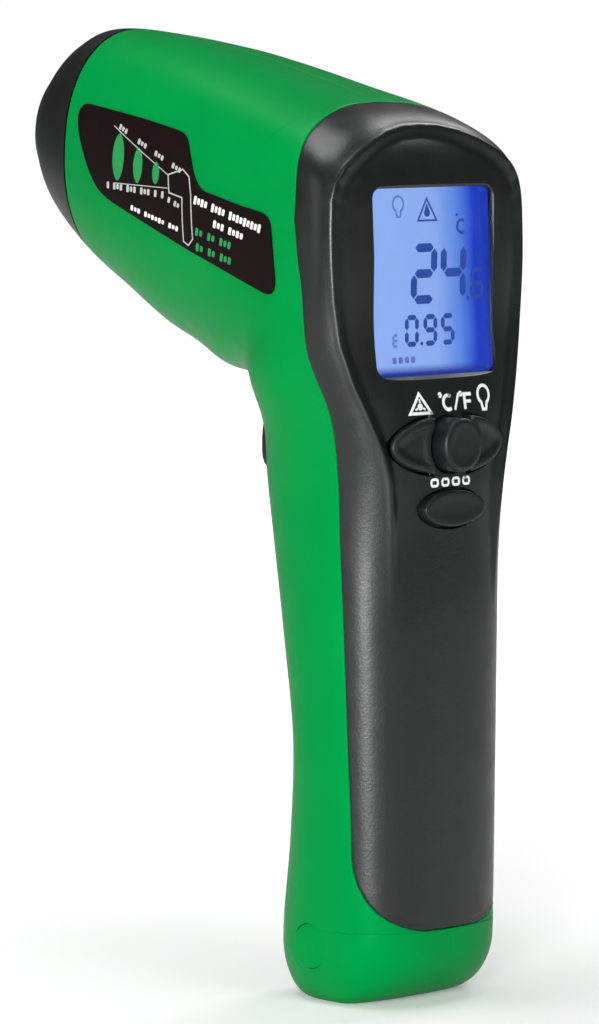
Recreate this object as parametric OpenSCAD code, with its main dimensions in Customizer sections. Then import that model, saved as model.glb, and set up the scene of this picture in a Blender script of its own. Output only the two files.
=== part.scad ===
// Pistol-grip infrared thermometer with a rear display, four buttons, a trigger and a battery door.
// Frame: +X is the pointing direction, +Y the instrument's left, +Z up. The origin is near the
// middle of the handle's foot, on the surface that it stands on. All sizes are in millimetres.

/* [Housing] */
// Widest point of the head, across the display
head_w = 45; // [43:0.5:46]
// Wall thickness of the moulded shells
wall = 1.6; // [1.4:0.1:1.6]
// Radius of the rounding around the handle's foot
foot_r = 10; // [9.5:0.5:10.5]

/* [Display] */
// Width of the display opening
window_w = 27.2; // [25:0.2:27.6]
// Height of the display opening
window_h = 29; // [27:0.5:29]

/* [Buttons] */
// Radius of the round centre button
centre_r = 4.2; // [3.8:0.1:4.4]
// How far a button travels when pressed
button_travel = 0.8; // [0.5:0.1:0.8]
// Gap between a button and its hole
button_gap = 0.2; // [0.15:0.05:0.25]

/* [Trigger] */
// Width of the trigger
trigger_w = 11; // [9:0.5:11.5]
// How far the trigger travels when pulled
trigger_travel = 3; // [2:0.5:3]

/* [Battery door] */
// Width of the battery door
door_w = 27.2; // [27:0.1:27.4]
// Height of the door's upper edge
door_top = 77; // [75:0.5:78]
// Gap between the door and the housing
door_gap = 0.25; // [0.2:0.05:0.3]
// Radius of the hinge pins
pin_r = 1.5; // [1.2:0.1:1.6]

/* [Sensor] */
// Upward tilt of the optical axis
optical_tilt = 8; // [7:0.5:9]
// Radius of the opening in front of the infrared lens
aperture_r = 6.2; // [5.8:0.1:6.3]
// Radius of the laser's opening
laser_r = 1.6; // [1.2:0.1:1.8]

/* [Hidden] */

$fn = 48;

// ---- Colours ----
green = [0.02, 0.62, 0.30];
black = [0.16, 0.17, 0.17];
dark = [0.10, 0.10, 0.11];
board = [0.10, 0.35, 0.20];
metal = [0.75, 0.76, 0.78];

// ---- Outer skin ----
// The skin is a loft of flat sections along the handle and the head. A section's front edge lies on
// the handle's front or the head's underside, and its rear edge on the handle's back, the display
// face or the head's top. Each row of sections is one section: [front x, front z, rear x, rear z,
// half width as a share of the head's, depth of the rear half, exponent of the rear half, exponent
// of the front half, forward bow of the middle, angle of the seam beside the rear cover].
sections = [
    [16.4,   0.0, -12.2,   0.0, 0.720, 12.0, 2.6, 2.6, 0.0, 70],
    [16.2,  11.0, -12.2,  11.0, 0.725, 12.0, 2.6, 2.6, 0.0, 70],
    [13.8,  26.0, -12.2,  26.0, 0.738, 12.0, 2.6, 2.6, 0.0, 70],
    [12.8,  41.0, -12.2,  41.0, 0.751, 12.0, 2.6, 2.6, 0.0, 72],
    [15.2,  57.0, -12.2,  58.0, 0.765, 12.0, 2.6, 2.6, 0.0, 74],
    [17.6,  71.0, -12.2,  72.0, 0.778, 12.0, 2.6, 2.6, 0.0, 76],
    [19.2,  81.0, -12.2,  83.0, 0.791, 12.0, 3.0, 2.6, 0.0, 79],
    [18.6,  89.0, -11.2,  93.0, 0.853, 12.0, 3.8, 2.6, 0.0, 80],
    [18.6,  94.0,  -9.0, 105.0, 0.978, 12.0, 4.8, 2.6, 0.0, 85],
    [21.5,  96.4,  -8.8, 120.0, 1.000, 12.0, 5.0, 2.6, 0.0, 89.3],
    [29.0,  97.6,  -7.8, 131.0, 0.991, 12.0, 4.2, 2.6, 0.0, 90],
    [36.0, 100.6,  -1.4, 138.0, 0.951, 14.0, 3.0, 2.5, 0.0, 90],
    [43.6, 103.8,  14.0, 143.0, 0.875, 16.0, 2.6, 2.5, 0.0, 90],
    [51.6, 108.4,  35.0, 148.2, 0.780, 18.0, 2.5, 2.4, 0.6, 90],
    [59.2, 112.8,  56.8, 151.2, 0.640, 19.0, 2.4, 2.4, 1.6, 90],
    [66.4, 118.4,  63.2, 150.2, 0.550, 16.4, 2.3, 2.3, 2.2, 90],
    [70.6, 123.6,  67.2, 147.0, 0.430, 11.8, 2.2, 2.2, 2.4, 90]];

function spline(a, b, c, d, f) =
    0.5 * (2 * b + (c - a) * f + (2 * a - 5 * b + 4 * c - d) * f * f
           + (3 * b - a - 3 * c + d) * f * f * f);

// The section at t, where whole numbers are the rows of sections
function section(t) =
    let (last = len(sections) - 1, i = min(floor(t), last - 1),
         b = sections[i], c = sections[i + 1],
         a = i > 0 ? sections[i - 1] : 2 * b - c,
         d = i < last - 1 ? sections[i + 2] : 2 * c - b)
    spline(a, b, c, d, t - i);

function signed_pow(v, e) = sign(v) * pow(abs(v), e);

// How much the rounding around the foot pulls the skin in at height z
function foot_pull(z) = z < foot_r ? foot_r - sqrt(pow(foot_r, 2) - pow(foot_r - z, 2)) : 0;

// The point of the skin in section t at angle u, moved inwards by inset; u is 0 at the rear,
// 90 on the left and 180 at the front
function skin_point(t, u, inset) =
    let (s = section(t), front = [s[0], s[1]], rear = [s[2], s[3]],
         along = (rear - front) / norm(rear - front),
         pull = t < 2 ? foot_pull(rear[1]) : 0,
         ahead = cos(u) < 0,
         depth = (ahead ? norm(rear - front) - s[5] - 0.4 * pull : s[5] - pull) - inset,
         k = signed_pow(cos(u), 2 / (ahead ? s[7] : s[6])),
         bow = s[8] * (1 - k * k),
         p = rear - along * s[5] + along * depth * k
             + bow * [cos(optical_tilt), sin(optical_tilt)],
         half_w = s[4] * head_w / 2 - 0.4 * pull - inset,
         y = half_w * signed_pow(sin(u), 2 / (ahead ? s[7] : s[6])))
    [p[0], y, p[1]];

// Angle of the seam between the rear cover and the housing, which closes round both ends
cover_start = 1.065;
cover_end = 11.36;
function seam_angle(t) =
    t < cover_start || t > cover_end ? 0
    : section(t)[9] * (t < 1.85 ? sqrt(1 - pow((1.85 - t) / 0.8, 2))
                       : t > 9.8 ? pow(1 - pow((t - 9.8) / 1.59, 2.5), 0.8) : 1);

// A thick piece of the skin. Each row is [t, first angle, last angle, t of its inner side].
// closed joins the last angle to the first; floor_plate and front_plate close the two ends.
module skin(rows, columns, outer = 0, inner = wall, closed = false,
            floor_plate = false, front_plate = false) {
    last = len(rows) - 1;
    count = closed ? columns : columns + 1;
    half = len(rows) * count;
    function angle(r, j) = r[1] + (r[2] - r[1]) * j / columns;
    function o(i, j) = i * count + (closed ? j % columns : j);
    function n(i, j) = half + o(i, j);
    function middle(t) = (skin_point(t, 90, 0) + skin_point(t, 270, 0)) / 2;
    points = concat(
        [for (r = rows) for (j = [0:count - 1]) skin_point(r[0], angle(r, j), outer)],
        [for (r = rows) for (j = [0:count - 1]) skin_point(r[3], angle(r, j), inner)],
        [middle(rows[last][0]), middle(rows[last][3])]);
    quads = concat(
        [for (i = [0:last - 1]) for (j = [0:columns - 1])
            [o(i, j), o(i, j + 1), o(i + 1, j + 1), o(i + 1, j)]],
        [for (i = [0:last - 1]) for (j = [0:columns - 1])
            [n(i, j), n(i + 1, j), n(i + 1, j + 1), n(i, j + 1)]],
        closed ? [] : [for (i = [0:last - 1]) [o(i, 0), o(i + 1, 0), n(i + 1, 0), n(i, 0)]],
        closed ? [] : [for (i = [0:last - 1])
            [o(i + 1, columns), o(i, columns), n(i, columns), n(i + 1, columns)]],
        floor_plate ? [[o(0, columns), o(0, 0), n(0, 0), n(0, columns)]]
                    : [for (j = [0:columns - 1]) [o(0, j + 1), o(0, j), n(0, j), n(0, j + 1)]],
        front_plate ? []
                    : [for (j = [0:columns - 1])
                        [o(last, j), o(last, j + 1), n(last, j + 1), n(last, j)]]);
    triangles = [for (q = quads) each [[q[0], q[1], q[2]], [q[0], q[2], q[3]]]];
    floors = floor_plate ? [[for (j = [columns:-1:0]) o(0, j)], [for (j = [0:columns]) n(0, j)]]
                         : [];
    fronts = front_plate
        ? [for (j = [0:columns - 1]) each [[o(last, j), o(last, j + 1), 2 * half],
                                          [n(last, j + 1), n(last, j), 2 * half + 1]]]
        : [];
    polyhedron(points, concat(triangles, floors, fronts), convexity = 10);
}

// Rows along the skin, closer together where it bends
foot_rows = [0, 0.03, 0.08, 0.15, 0.25, 0.4, 0.6, 0.8];
cover_rows = [cover_start, 1.1, 1.2, 1.35, 1.55, 1.85, 2.4, 3, 3.6, 4.2, 4.8, 5.4, 6, 6.4, 6.8,
              7.2, 7.6, 8, 8.5, 9, 9.4, 9.8, 10.1, 10.4, 10.65, 10.9, 11.1, 11.25, cover_end];
head_rows = [11.38, 11.75, 12.2, 12.8, 13.4, 13.98];
nose_rows = [14.02, 14.4, 14.8, 15.1, 15.4, 15.65, 15.85, 16];

// The inner side of the foot is a wall's thickness higher than the outer side
function above_floor(t) = t < 1 ? t + (1 - t) * wall / sections[1][1] : t;
function behind_front(t) = t > 15 ? 15 + 0.72 * (t - 15) : t;

// ---- Places ----
hinge = [3.4, 9];
door_half = door_w / 2;
button_z = 87.3;
mode_z = 77.4;
cover_x = -12.1;
board_x = -2.6;
board_t = 1.6;
board_front = board_x + board_t;
nose = [68.6, 134];
aperture_drop = 2.8;
laser_rise = 8;
battery_x = 0.25;
battery_floor = 22;
battery_h = 46.4;
battery_top = battery_floor + battery_h;
terminal_h = 2.1;
display_x = -9.1;
display_z = 112.5;
display_tilt = 2.8;
// Housing screws: [x, z, how far to each side the screw's boss reaches]
screw_places = [[-2.5, 15.5, 15.2], [25, 105.5, 13.2], [46, 115.5, 11.8], [8, 133.5, 17.4]];
screw_head_y = 6;

// Puts a shape drawn in the x-z plane upright, centred on y = 0
module upright(width) {
    rotate([90, 0, 0])
        linear_extrude(width, center = true)
            children();
}

// Puts a shape drawn in the y-z plane at x, growing forwards
module facing(x, depth) {
    translate([x, 0, 0])
        rotate([90, 0, 90])
            linear_extrude(depth)
                children();
}

// A cylinder along y from y0 to y1 at [x, z]
module cross_rod(at, r, y0, y1) {
    translate([at[0], y0, at[1]])
        rotate([-90, 0, 0])
            cylinder(r = r, h = y1 - y0);
}

// Local z runs forwards along the optical axis from the nose, and local x downwards
module on_axis(down = 0) {
    translate([nose[0], 0, nose[1]])
        rotate([0, 90 - optical_tilt, 0])
            translate([down, 0, 0])
                children();
}

// Local x runs into the display from its face
module on_display() {
    translate([display_x, 0, display_z])
        rotate([0, display_tilt, 0])
            children();
}

module rounded_rectangle(w, h, r) {
    square([w - 2 * r, h], center = true);
    square([w, h - 2 * r], center = true);
    for (a = [-1, 1]) for (b = [-1, 1])
        translate([a * (w / 2 - r), b * (h / 2 - r)])
            circle(r);
}

// ---- Battery door ----
door_reach = 9.9;
foot_edge = 8.4;
// Side view of everything that swings with the door; gap makes it larger on all sides
module door_region(gap = 0) {
    difference() {
        translate([hinge[0] - gap, -5])
            square([30, door_top + 5 + gap]);
        translate(hinge)
            circle(door_reach - gap);
        translate([-30, -10])
            square([30 + foot_edge - 10 * gap, 10 + hinge[1]]);
    }
}

lug_y = [8.6, 11.2];
hub_r = 3;
module door_lug() {
    difference() {
        union() {
            cross_rod(hinge, hub_r, lug_y[0], lug_y[1]);
            translate([0, (lug_y[0] + lug_y[1]) / 2, 0])
                upright(lug_y[1] - lug_y[0])
                    polygon([[hinge[0], hinge[1] - 2.6], [12, 13.5], [12, 20],
                             [hinge[0], hinge[1] + 2.8]]);
        }
        cross_rod(hinge, pin_r + 0.06, lug_y[0] - 1, lug_y[1] + 1);
    }
}

module battery_door() {
    rows = [for (t = concat(foot_rows, [1.1, 1.5, 2, 2.5, 3, 3.5, 4, 4.5, 5, 5.6]))
            [t, 110, 250, above_floor(t)]];
    color(green) {
        intersection() {
            skin(rows, 20, floor_plate = true);
            upright(door_w)
                door_region();
        }
        door_lug();
        mirror([0, 1, 0])
            door_lug();
    }
}

module hinge_pin() {
    cross_rod(hinge, pin_r, lug_y[0] - 0.2, 15.1);
    cross_rod(hinge, 3.4, 15, 15.8);
}

module hinge_pins() {
    color(green) {
        hinge_pin();
        mirror([0, 1, 0])
            hinge_pin();
    }
}

// ---- Housing ----
slot_z = [80.7, 93.9];
module trigger_slot() {
    translate([12, -trigger_w / 2 - 0.25, slot_z[0]])
        cube([20, trigger_w + 0.5, slot_z[1] - slot_z[0]]);
}

// The left half of the housing; heads opens the screw pockets that only the right half has
module half_housing(heads) {
    rows = [for (t = concat(foot_rows, [1.06], cover_rows, head_rows))
            [t, seam_angle(t), 180, above_floor(t)]];
    difference() {
        union() {
            skin(rows, 18, floor_plate = true);
            for (p = screw_places)
                cross_rod([p[0], p[1]], 3.6, 0.05, p[2]);
            cross_rod(hinge, 4.6, lug_y[1] + 0.2, 15.3);
            translate([-4, 0.05, 20.2])
                cube([7, 15.4, 1.4]);
            for (peg = [[-13, 6.6], [-22, 8.6]])
                on_axis(aperture_drop)
                    translate([0, barrel_r + 0.05, peg[0]])
                        rotate([-90, 0, 0])
                            cylinder(r = 2.2, h = peg[1]);
        }
        upright(door_w + 2 * door_gap)
            door_region(door_gap);
        translate([hinge[0], -1, wall + 0.1])
            cube([14, lug_y[1] + 1.15, 18]);
        trigger_slot();
        cross_rod(hinge, pin_r + 0.02, 11, 20);
        cross_rod(hinge, 3.6, 14.95, 20);
        for (p = screw_places) {
            cross_rod([p[0], p[1]], heads ? 1.3 : 1.12, -1, 9);
            if (heads)
                cross_rod([p[0], p[1]], 2.6, screw_head_y, 30);
        }
    }
}

module left_housing() {
    color(green)
        half_housing(false);
}

module right_housing() {
    color(green)
        mirror([0, 1, 0])
            half_housing(true);
}

module housing_screws() {
    color(metal)
        for (p = screw_places) {
            cross_rod([p[0], p[1]], 1.1, -screw_head_y - 0.1, 6);
            cross_rod([p[0], p[1]], 2.3, -screw_head_y - 1.6, -screw_head_y);
        }
}

module nose_cap() {
    rows = [for (t = nose_rows) [t, 0, 360, behind_front(t)]];
    color(black)
        difference() {
            skin(rows, 36, closed = true, front_plate = true);
            on_axis(aperture_drop)
                translate([0, 0, -3])
                    cylinder(r = aperture_r, h = 10);
            on_axis(-laser_rise)
                translate([0, 0, -3])
                    cylinder(r = laser_r, h = 10);
        }
}

// ---- Buttons ----
eye_half = 12.6;
eye_rise = 4.6;
ring_r = centre_r + 0.9;
horn_share = 0.8;
post_y = 17.7;

// The wide oval that the two side buttons fill; grow makes it larger
module eye(grow = 0) {
    scale([eye_half + grow, eye_rise + grow])
        circle(1, $fn = 96);
}

// One side button's outline, on the left
module side_outline(grow = 0) {
    translate([0, button_z])
        difference() {
            eye(grow);
            circle(ring_r - grow);
            translate([-30, -20])
                square([30 + horn_share * ring_r - grow, 40]);
        }
}

module mode_outline(grow = 0) {
    translate([0, mode_z])
        polygon([for (a = [0:7.5:352.5]) [(6.8 + grow) * cos(a), (2.8 + grow) * sin(a)]]);
}

module side_button() {
    intersection() {
        facing(cover_x - 3, 4.5)
            side_outline();
        translate([cover_x - 0.6 + 53.6, 0, button_z - 10])
            cylinder(r = 53.6, h = 20, $fn = 180);
    }
    translate([-10.7, 5.6, button_z - 2.4])
        cube([1.5, 3.2, 4.8]);
    translate([-9.3, 5.2, button_z - 5])
        cube([0.6, 3.8, 10]);
    translate([-8.9, 7.3, button_z])
        rotate([0, 90, 0])
            cylinder(r = 1.5, h = 1.25);
}

module laser_button() {
    color(dark)
        side_button();
}

module backlight_button() {
    color(dark)
        mirror([0, 1, 0])
            side_button();
}

module unit_button() {
    color(dark)
        translate([0, 0, button_z])
            rotate([0, 90, 0])
                translate([0, 0, cover_x]) {
                    translate([0, 0, -2.5])
                        cylinder(r = centre_r, h = 4.7);
                    translate([0, 0, 2.1])
                        cylinder(r = centre_r, h = 0.6);
                    translate([0, 0, 2.6])
                        cylinder(r = centre_r + 0.6, h = 0.7);
                    translate([0, 0, 3.2])
                        cylinder(r = 1.5, h = 1.25);
                }
}

module mode_button() {
    color(dark) {
        facing(cover_x - 0.7, 2.5)
            mode_outline();
        translate([-10.3, -5.5, mode_z - 3.4])
            cube([0.7, 11, 6.8]);
        translate([-9.8, 0, mode_z])
            rotate([0, 90, 0])
                cylinder(r = 1.5, h = 2.15);
    }
}

// Tact switches behind the four buttons
module button_switches() {
    color(dark)
        for (p = [[7.3, button_z], [0, button_z], [-7.3, button_z], [0, mode_z]])
            translate([board_x, p[0], p[1]])
                rotate([0, -90, 0]) {
                    translate([-3, -3, 0])
                        cube([6, 6, 3.4]);
                    cylinder(r = 1.7, h = 4.2);
                }
}

module rear_cover() {
    rows = [for (t = cover_rows) [t, -seam_angle(t), seam_angle(t), t]];
    color(black)
        difference() {
            union() {
                skin(rows, 26);
                for (side = [-1, 1])
                    translate([-6.6, side * post_y, display_z])
                        rotate([0, 90, 0])
                            cylinder(r = 1.9, h = board_x + 6.6);
            }
            on_display()
                facing(-8, 12)
                    rounded_rectangle(window_w, window_h, 1.6);
            facing(-20, 12)
                side_outline(button_gap);
            mirror([0, 1, 0])
                facing(-20, 12)
                    side_outline(button_gap);
            facing(-20, 12)
                translate([0, button_z])
                    circle(centre_r + button_gap);
            facing(-20, 12)
                mode_outline(button_gap);
            for (side = [-1, 1])
                translate([-5.7, side * post_y, display_z])
                    rotate([0, 90, 0])
                        cylinder(r = 0.92, h = 8);
        }
}

// ---- Display ----
module lcd_window() {
    color([0.8, 0.9, 1, 0.3])
        on_display()
            facing(1.5, 0.9)
                rounded_rectangle(window_w - 0.3, window_h - 0.3, 1.5);
}

module lcd_frame() {
    color(dark)
        on_display()
            facing(2.7, 2.8)
                difference() {
                    square([31.4, 33.6], center = true);
                    square([29.6, 32], center = true);
                }
}

module lcd_panel() {
    color([0.45, 0.6, 0.95])
        on_display()
            facing(2.5, 1.8)
                square([29.2, 31.6], center = true);
}

module backlight_panel() {
    color([0.3, 0.45, 1])
        on_display()
            facing(4.35, 1.1)
                square([29.2, 31.6], center = true);
}

// ---- Electronics ----
module main_pcb() {
    color(board)
        facing(board_x, board_t)
            difference() {
                polygon([[-12.5, 73.5], [12.5, 73.5], [12.5, 93], [17, 97], [17, 109], [19.4, 109],
                         [19.4, 116], [17, 116], [17, 129], [14, 132], [-14, 132], [-17, 129],
                         [-17, 116], [-19.4, 116], [-19.4, 109], [-17, 109], [-17, 97],
                         [-12.5, 93]]);
                for (side = [-1, 1])
                    translate([side * post_y, display_z])
                        circle(1.1);
            }
}

module pcb_screws() {
    color(metal)
        for (side = [-1, 1])
            translate([board_front, side * post_y, display_z])
                rotate([0, 90, 0]) {
                    cylinder(r = 1.7, h = 1.2);
                    translate([0, 0, -4.5])
                        cylinder(r = 0.9, h = 4.6);
                }
}

module pcb_chips() {
    color(dark) {
        translate([board_front, -10, 103])
            cube([1.2, 9, 9]);
        translate([board_front, 3, 105])
            cube([1.4, 5, 4]);
        translate([board_front, 3, 113])
            cube([1, 3, 6]);
        for (y = [-12, -8])
            translate([board_front, y, 99])
                rotate([0, 90, 0])
                    cylinder(r = 1.6, h = 3.5);
    }
}

module buzzer() {
    color(dark)
        translate([board_front, 5, 89])
            rotate([0, 90, 0])
                difference() {
                    cylinder(r = 4.8, h = 3.2);
                    translate([0, 0, 2])
                        cylinder(r = 0.9, h = 3);
                }
}

// ---- Battery ----
module battery() {
    color([0.25, 0.27, 0.3]) {
        translate([battery_x, 0, battery_floor])
            linear_extrude(battery_h)
                rounded_rectangle(16.5, 25.6, 2.5);
        translate([battery_x, 6.35, battery_top])
            cylinder(r = 2.8, h = terminal_h);
        translate([battery_x, -6.35, battery_top])
            difference() {
                cylinder(r = 3.9, h = terminal_h);
                translate([0, 0, 0.5])
                    cylinder(r = 2.9, h = terminal_h);
            }
    }
}

module battery_snap() {
    snap_z = battery_top + terminal_h;
    color(dark) {
        translate([battery_x - 6, -12, snap_z])
            cube([12, 24, 1.5]);
        translate([battery_x, 6.35, snap_z - 1.6])
            difference() {
                cylinder(r = 3.8, h = 1.7);
                translate([0, 0, -1])
                    cylinder(r = 2.95, h = 2.6);
            }
        translate([battery_x, -6.35, snap_z - 1.4])
            cylinder(r = 2.7, h = 1.5);
    }
}

// Two short wires from the snap to pads on the front of the board
module battery_leads() {
    lead_r = 0.6;
    color("crimson")
        for (y = [-4, 4])
            translate([board_front + lead_r, y, battery_top + terminal_h + 1.5])
                cylinder(r = lead_r, h = 8);
}

// ---- Trigger ----
trigger_back = 14.5;
module trigger() {
    color(dark) {
        upright(trigger_w)
            polygon([[trigger_back, 81], [20.2, 81], [23.2, 81.9], [24.4, 83.6], [24.5, 85.5],
                     [24.4, 88], [23.8, 91], [23.2, 92.4], [22.4, 93.6], [trigger_back, 93.6]]);
        translate([trigger_back, -7.5, 80])
            cube([1.6, 15, 14.6]);
        translate([trigger_back - 1, -2, 81.5])
            cube([1.2, 4, 3]);
    }
}

bracket_x = 4;
bracket_t = 1.4;
module trigger_bracket() {
    color(dark)
        facing(bracket_x, bracket_t)
            translate([-13, 78.5])
                square([26, 16.5]);
}

module trigger_switch() {
    color(dark) {
        translate([bracket_x + bracket_t, -3.2, 80])
            cube([2.6, 6.4, 6]);
        translate([bracket_x + 4, 0, 83])
            rotate([0, 90, 0])
                cylinder(r = 1.2, h = trigger_back - trigger_travel - bracket_x - 5.1);
    }
}

// A compression spring between the bracket and the trigger
spring_r = 2.2;
wire_r = 0.3;
spring_turns = 5;
module trigger_spring() {
    x0 = bracket_x + bracket_t + wire_r;
    length = trigger_back - wire_r - x0;
    steps = 12 * spring_turns;
    sides = 8;
    points = [for (i = [0:steps]) let (a = 360 * spring_turns * i / steps) for (j = [0:sides - 1])
        let (b = 360 * j / sides, r = spring_r + wire_r * cos(b))
        [x0 + length * i / steps + wire_r * sin(b), r * cos(a), 90 + r * sin(a)]];
    sides_faces = [for (i = [0:steps - 1]) for (j = [0:sides - 1])
        let (a = i * sides + j, b = i * sides + (j + 1) % sides)
        each [[a, b, b + sides], [a, b + sides, a + sides]]];
    color(metal)
        polyhedron(points, concat(sides_faces, [[for (j = [sides - 1:-1:0]) j]],
                                  [[for (j = [0:sides - 1]) steps * sides + j]]));
}

// ---- Sensor and laser ----
barrel_r = 7.2;
bore_r = 6.3;
module sensor_barrel() {
    color(dark)
        on_axis(aperture_drop)
            rotate_extrude()
                polygon([[bore_r, -3.2], [barrel_r, -3.2], [barrel_r, -28.6], [4.75, -28.6],
                         [4.75, -27], [bore_r, -27]]);
}

module ir_lens() {
    color([0.85, 0.85, 0.9, 0.6])
        on_axis(aperture_drop)
            translate([0, 0, -4.6])
                cylinder(r = bore_r - 0.02, h = 0.7);
}

module lens_ring() {
    color(dark)
        on_axis(aperture_drop)
            rotate_extrude()
                polygon([[5.6, -3.85], [bore_r - 0.03, -3.85], [bore_r - 0.03, -3.15],
                         [barrel_r, -3.15], [barrel_r, -2], [5.6, -2]]);
}

module thermopile_sensor() {
    color(metal)
        on_axis(aperture_drop) {
            rotate_extrude()
                polygon([[0, -29.6], [5.2, -29.6], [5.2, -28.65], [4.7, -28.65], [4.7, -24.6],
                         [2.2, -24.6], [2.2, -25], [0, -25]]);
            for (a = [45:90:315])
                rotate([0, 0, a])
                    translate([2.6, 0, -31])
                        cylinder(r = 0.25, h = 1.5);
        }
}

module sensor_pcb() {
    color(board)
        on_axis(aperture_drop)
            translate([-7, -8, -32.2])
                cube([14, 16, 1.2]);
}

module laser_module() {
    color([0.75, 0.6, 0.3])
        on_axis(-laser_rise)
            translate([0, 0, -17])
                difference() {
                    cylinder(r = 3, h = 14);
                    translate([0, 0, 11])
                        cylinder(r = 1.8, h = 4);
                }
}

module laser_window() {
    color([0.8, 0.2, 0.2, 0.5])
        on_axis(-laser_rise)
            translate([0, 0, -2.9])
                cylinder(r = 2.4, h = 0.6);
}

// ---- Labels ----
// A thin label that follows the side of the head
module side_label() {
    rows = [for (t = [8.6:0.45:14]) [t, 56, 130, t]];
    color(dark)
        intersection() {
            skin(rows, 14, outer = -0.3, inner = -0.1);
            translate([0, 20, 0])
                upright(40)
                    polygon([[55.4, 138.4], [54, 139.4], [44.5, 138.1], [36.6, 136.9],
                             [28, 135.2], [26.6, 134], [24.6, 128.4], [22.8, 126.3],
                             [13.2, 124.2], [7, 123.1], [5.6, 121.8], [4.2, 112],
                             [5.4, 110.4], [25.9, 116.8], [46.4, 124.1], [49.6, 125.8],
                             [52.2, 129], [54.6, 133.4], [55.7, 136.8]]);
        }
}

module left_label() {
    side_label();
}

module right_label() {
    mirror([0, 1, 0])
        side_label();
}

left_housing();
right_housing();
rear_cover();
nose_cap();
battery_door();
hinge_pins();
trigger();
trigger_spring();
trigger_switch();
trigger_bracket();
laser_button();
unit_button();
backlight_button();
mode_button();
button_switches();
lcd_window();
lcd_frame();
lcd_panel();
backlight_panel();
main_pcb();
pcb_chips();
pcb_screws();
buzzer();
sensor_barrel();
ir_lens();
lens_ring();
thermopile_sensor();
sensor_pcb();
laser_module();
laser_window();
battery();
battery_snap();
battery_leads();
housing_screws();
left_label();
right_label();
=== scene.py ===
"""The looks of the pistol-grip infrared thermometer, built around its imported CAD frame.

Shapes are given in millimetres, which solid() turns into metres. The camera, the lights and the
materials are in metres. +X is the pointing direction, +Y the instrument's left and +Z up.
"""

import math

import bmesh
import bpy
import numpy as np
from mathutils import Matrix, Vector
from mathutils.bvhtree import BVHTree
from mathutils.geometry import delaunay_2d_cdt
from mathutils.kdtree import KDTree


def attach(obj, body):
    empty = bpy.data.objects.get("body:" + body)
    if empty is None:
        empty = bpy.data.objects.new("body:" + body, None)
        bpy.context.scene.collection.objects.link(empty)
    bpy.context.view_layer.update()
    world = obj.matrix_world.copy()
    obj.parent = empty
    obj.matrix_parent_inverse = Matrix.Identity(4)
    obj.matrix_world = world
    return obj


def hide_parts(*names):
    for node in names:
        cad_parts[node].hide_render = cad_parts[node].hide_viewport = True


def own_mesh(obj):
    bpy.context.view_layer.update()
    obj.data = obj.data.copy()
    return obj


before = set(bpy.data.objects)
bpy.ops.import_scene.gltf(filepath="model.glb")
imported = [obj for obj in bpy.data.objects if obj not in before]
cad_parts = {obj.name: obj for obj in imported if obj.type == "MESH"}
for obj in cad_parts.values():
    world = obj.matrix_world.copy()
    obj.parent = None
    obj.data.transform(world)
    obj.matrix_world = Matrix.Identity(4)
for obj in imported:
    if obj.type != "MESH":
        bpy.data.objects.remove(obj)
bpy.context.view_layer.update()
MM = 0.001

# ---------------------------------------------------------------- camera
CAMERA_AT = (-0.6088, 0.6521, 0.1541)
CAMERA_TO = (0.0209, 0.0, 0.0748)
CAMERA_LENS = 201.4


def add_camera():
    data = bpy.data.cameras.new("camera")
    data.lens = CAMERA_LENS
    data.sensor_width = 36
    camera = bpy.data.objects.new("camera", data)
    bpy.context.scene.collection.objects.link(camera)
    camera.location = CAMERA_AT
    look = Vector(CAMERA_TO) - Vector(CAMERA_AT)
    camera.rotation_euler = look.to_track_quat("-Z", "Y").to_euler()
    bpy.context.scene.camera = camera


add_camera()

# ---------------------------------------------------------------- outer skin
# The same sections as the CAD skin: front x, front z, rear x, rear z, half width share, rear depth,
# rear exponent, front exponent, forward bow, angle of the rear cover's seam
SECTIONS = np.array([
    [16.4, 0.0, -12.2, 0.0, 0.720, 12.0, 2.6, 2.6, 0.0, 70],
    [16.2, 11.0, -12.2, 11.0, 0.725, 12.0, 2.6, 2.6, 0.0, 70],
    [13.8, 26.0, -12.2, 26.0, 0.738, 12.0, 2.6, 2.6, 0.0, 70],
    [12.8, 41.0, -12.2, 41.0, 0.751, 12.0, 2.6, 2.6, 0.0, 72],
    [15.2, 57.0, -12.2, 58.0, 0.765, 12.0, 2.6, 2.6, 0.0, 74],
    [17.6, 71.0, -12.2, 72.0, 0.778, 12.0, 2.6, 2.6, 0.0, 76],
    [19.2, 81.0, -12.2, 83.0, 0.791, 12.0, 3.0, 2.6, 0.0, 79],
    [18.6, 89.0, -11.2, 93.0, 0.853, 12.0, 3.8, 2.6, 0.0, 80],
    [18.6, 94.0, -9.0, 105.0, 0.978, 12.0, 4.8, 2.6, 0.0, 85],
    [21.5, 96.4, -8.8, 120.0, 1.000, 12.0, 5.0, 2.6, 0.0, 89.3],
    [29.0, 97.6, -7.8, 131.0, 0.991, 12.0, 4.2, 2.6, 0.0, 90],
    [36.0, 100.6, -1.4, 138.0, 0.951, 14.0, 3.0, 2.5, 0.0, 90],
    [43.6, 103.8, 14.0, 143.0, 0.875, 16.0, 2.6, 2.5, 0.0, 90],
    [51.6, 108.4, 35.0, 148.2, 0.780, 18.0, 2.5, 2.4, 0.6, 90],
    [59.2, 112.8, 56.8, 151.2, 0.640, 19.0, 2.4, 2.4, 1.6, 90],
    [66.4, 118.4, 63.2, 150.2, 0.550, 16.4, 2.3, 2.3, 2.2, 90],
    [70.6, 123.6, 67.2, 147.0, 0.430, 11.8, 2.2, 2.2, 2.4, 90]])
HEAD_HALF = 22.5
WALL = 1.6
FOOT_R = 10.0
TILT = math.radians(8)
COVER_START = 1.065
COVER_OPEN = 1.85
OPEN_RUN = 0.8
COVER_CLOSE = 9.8
CLOSE_RUN = 1.59
COVER_END = 11.36


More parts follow.
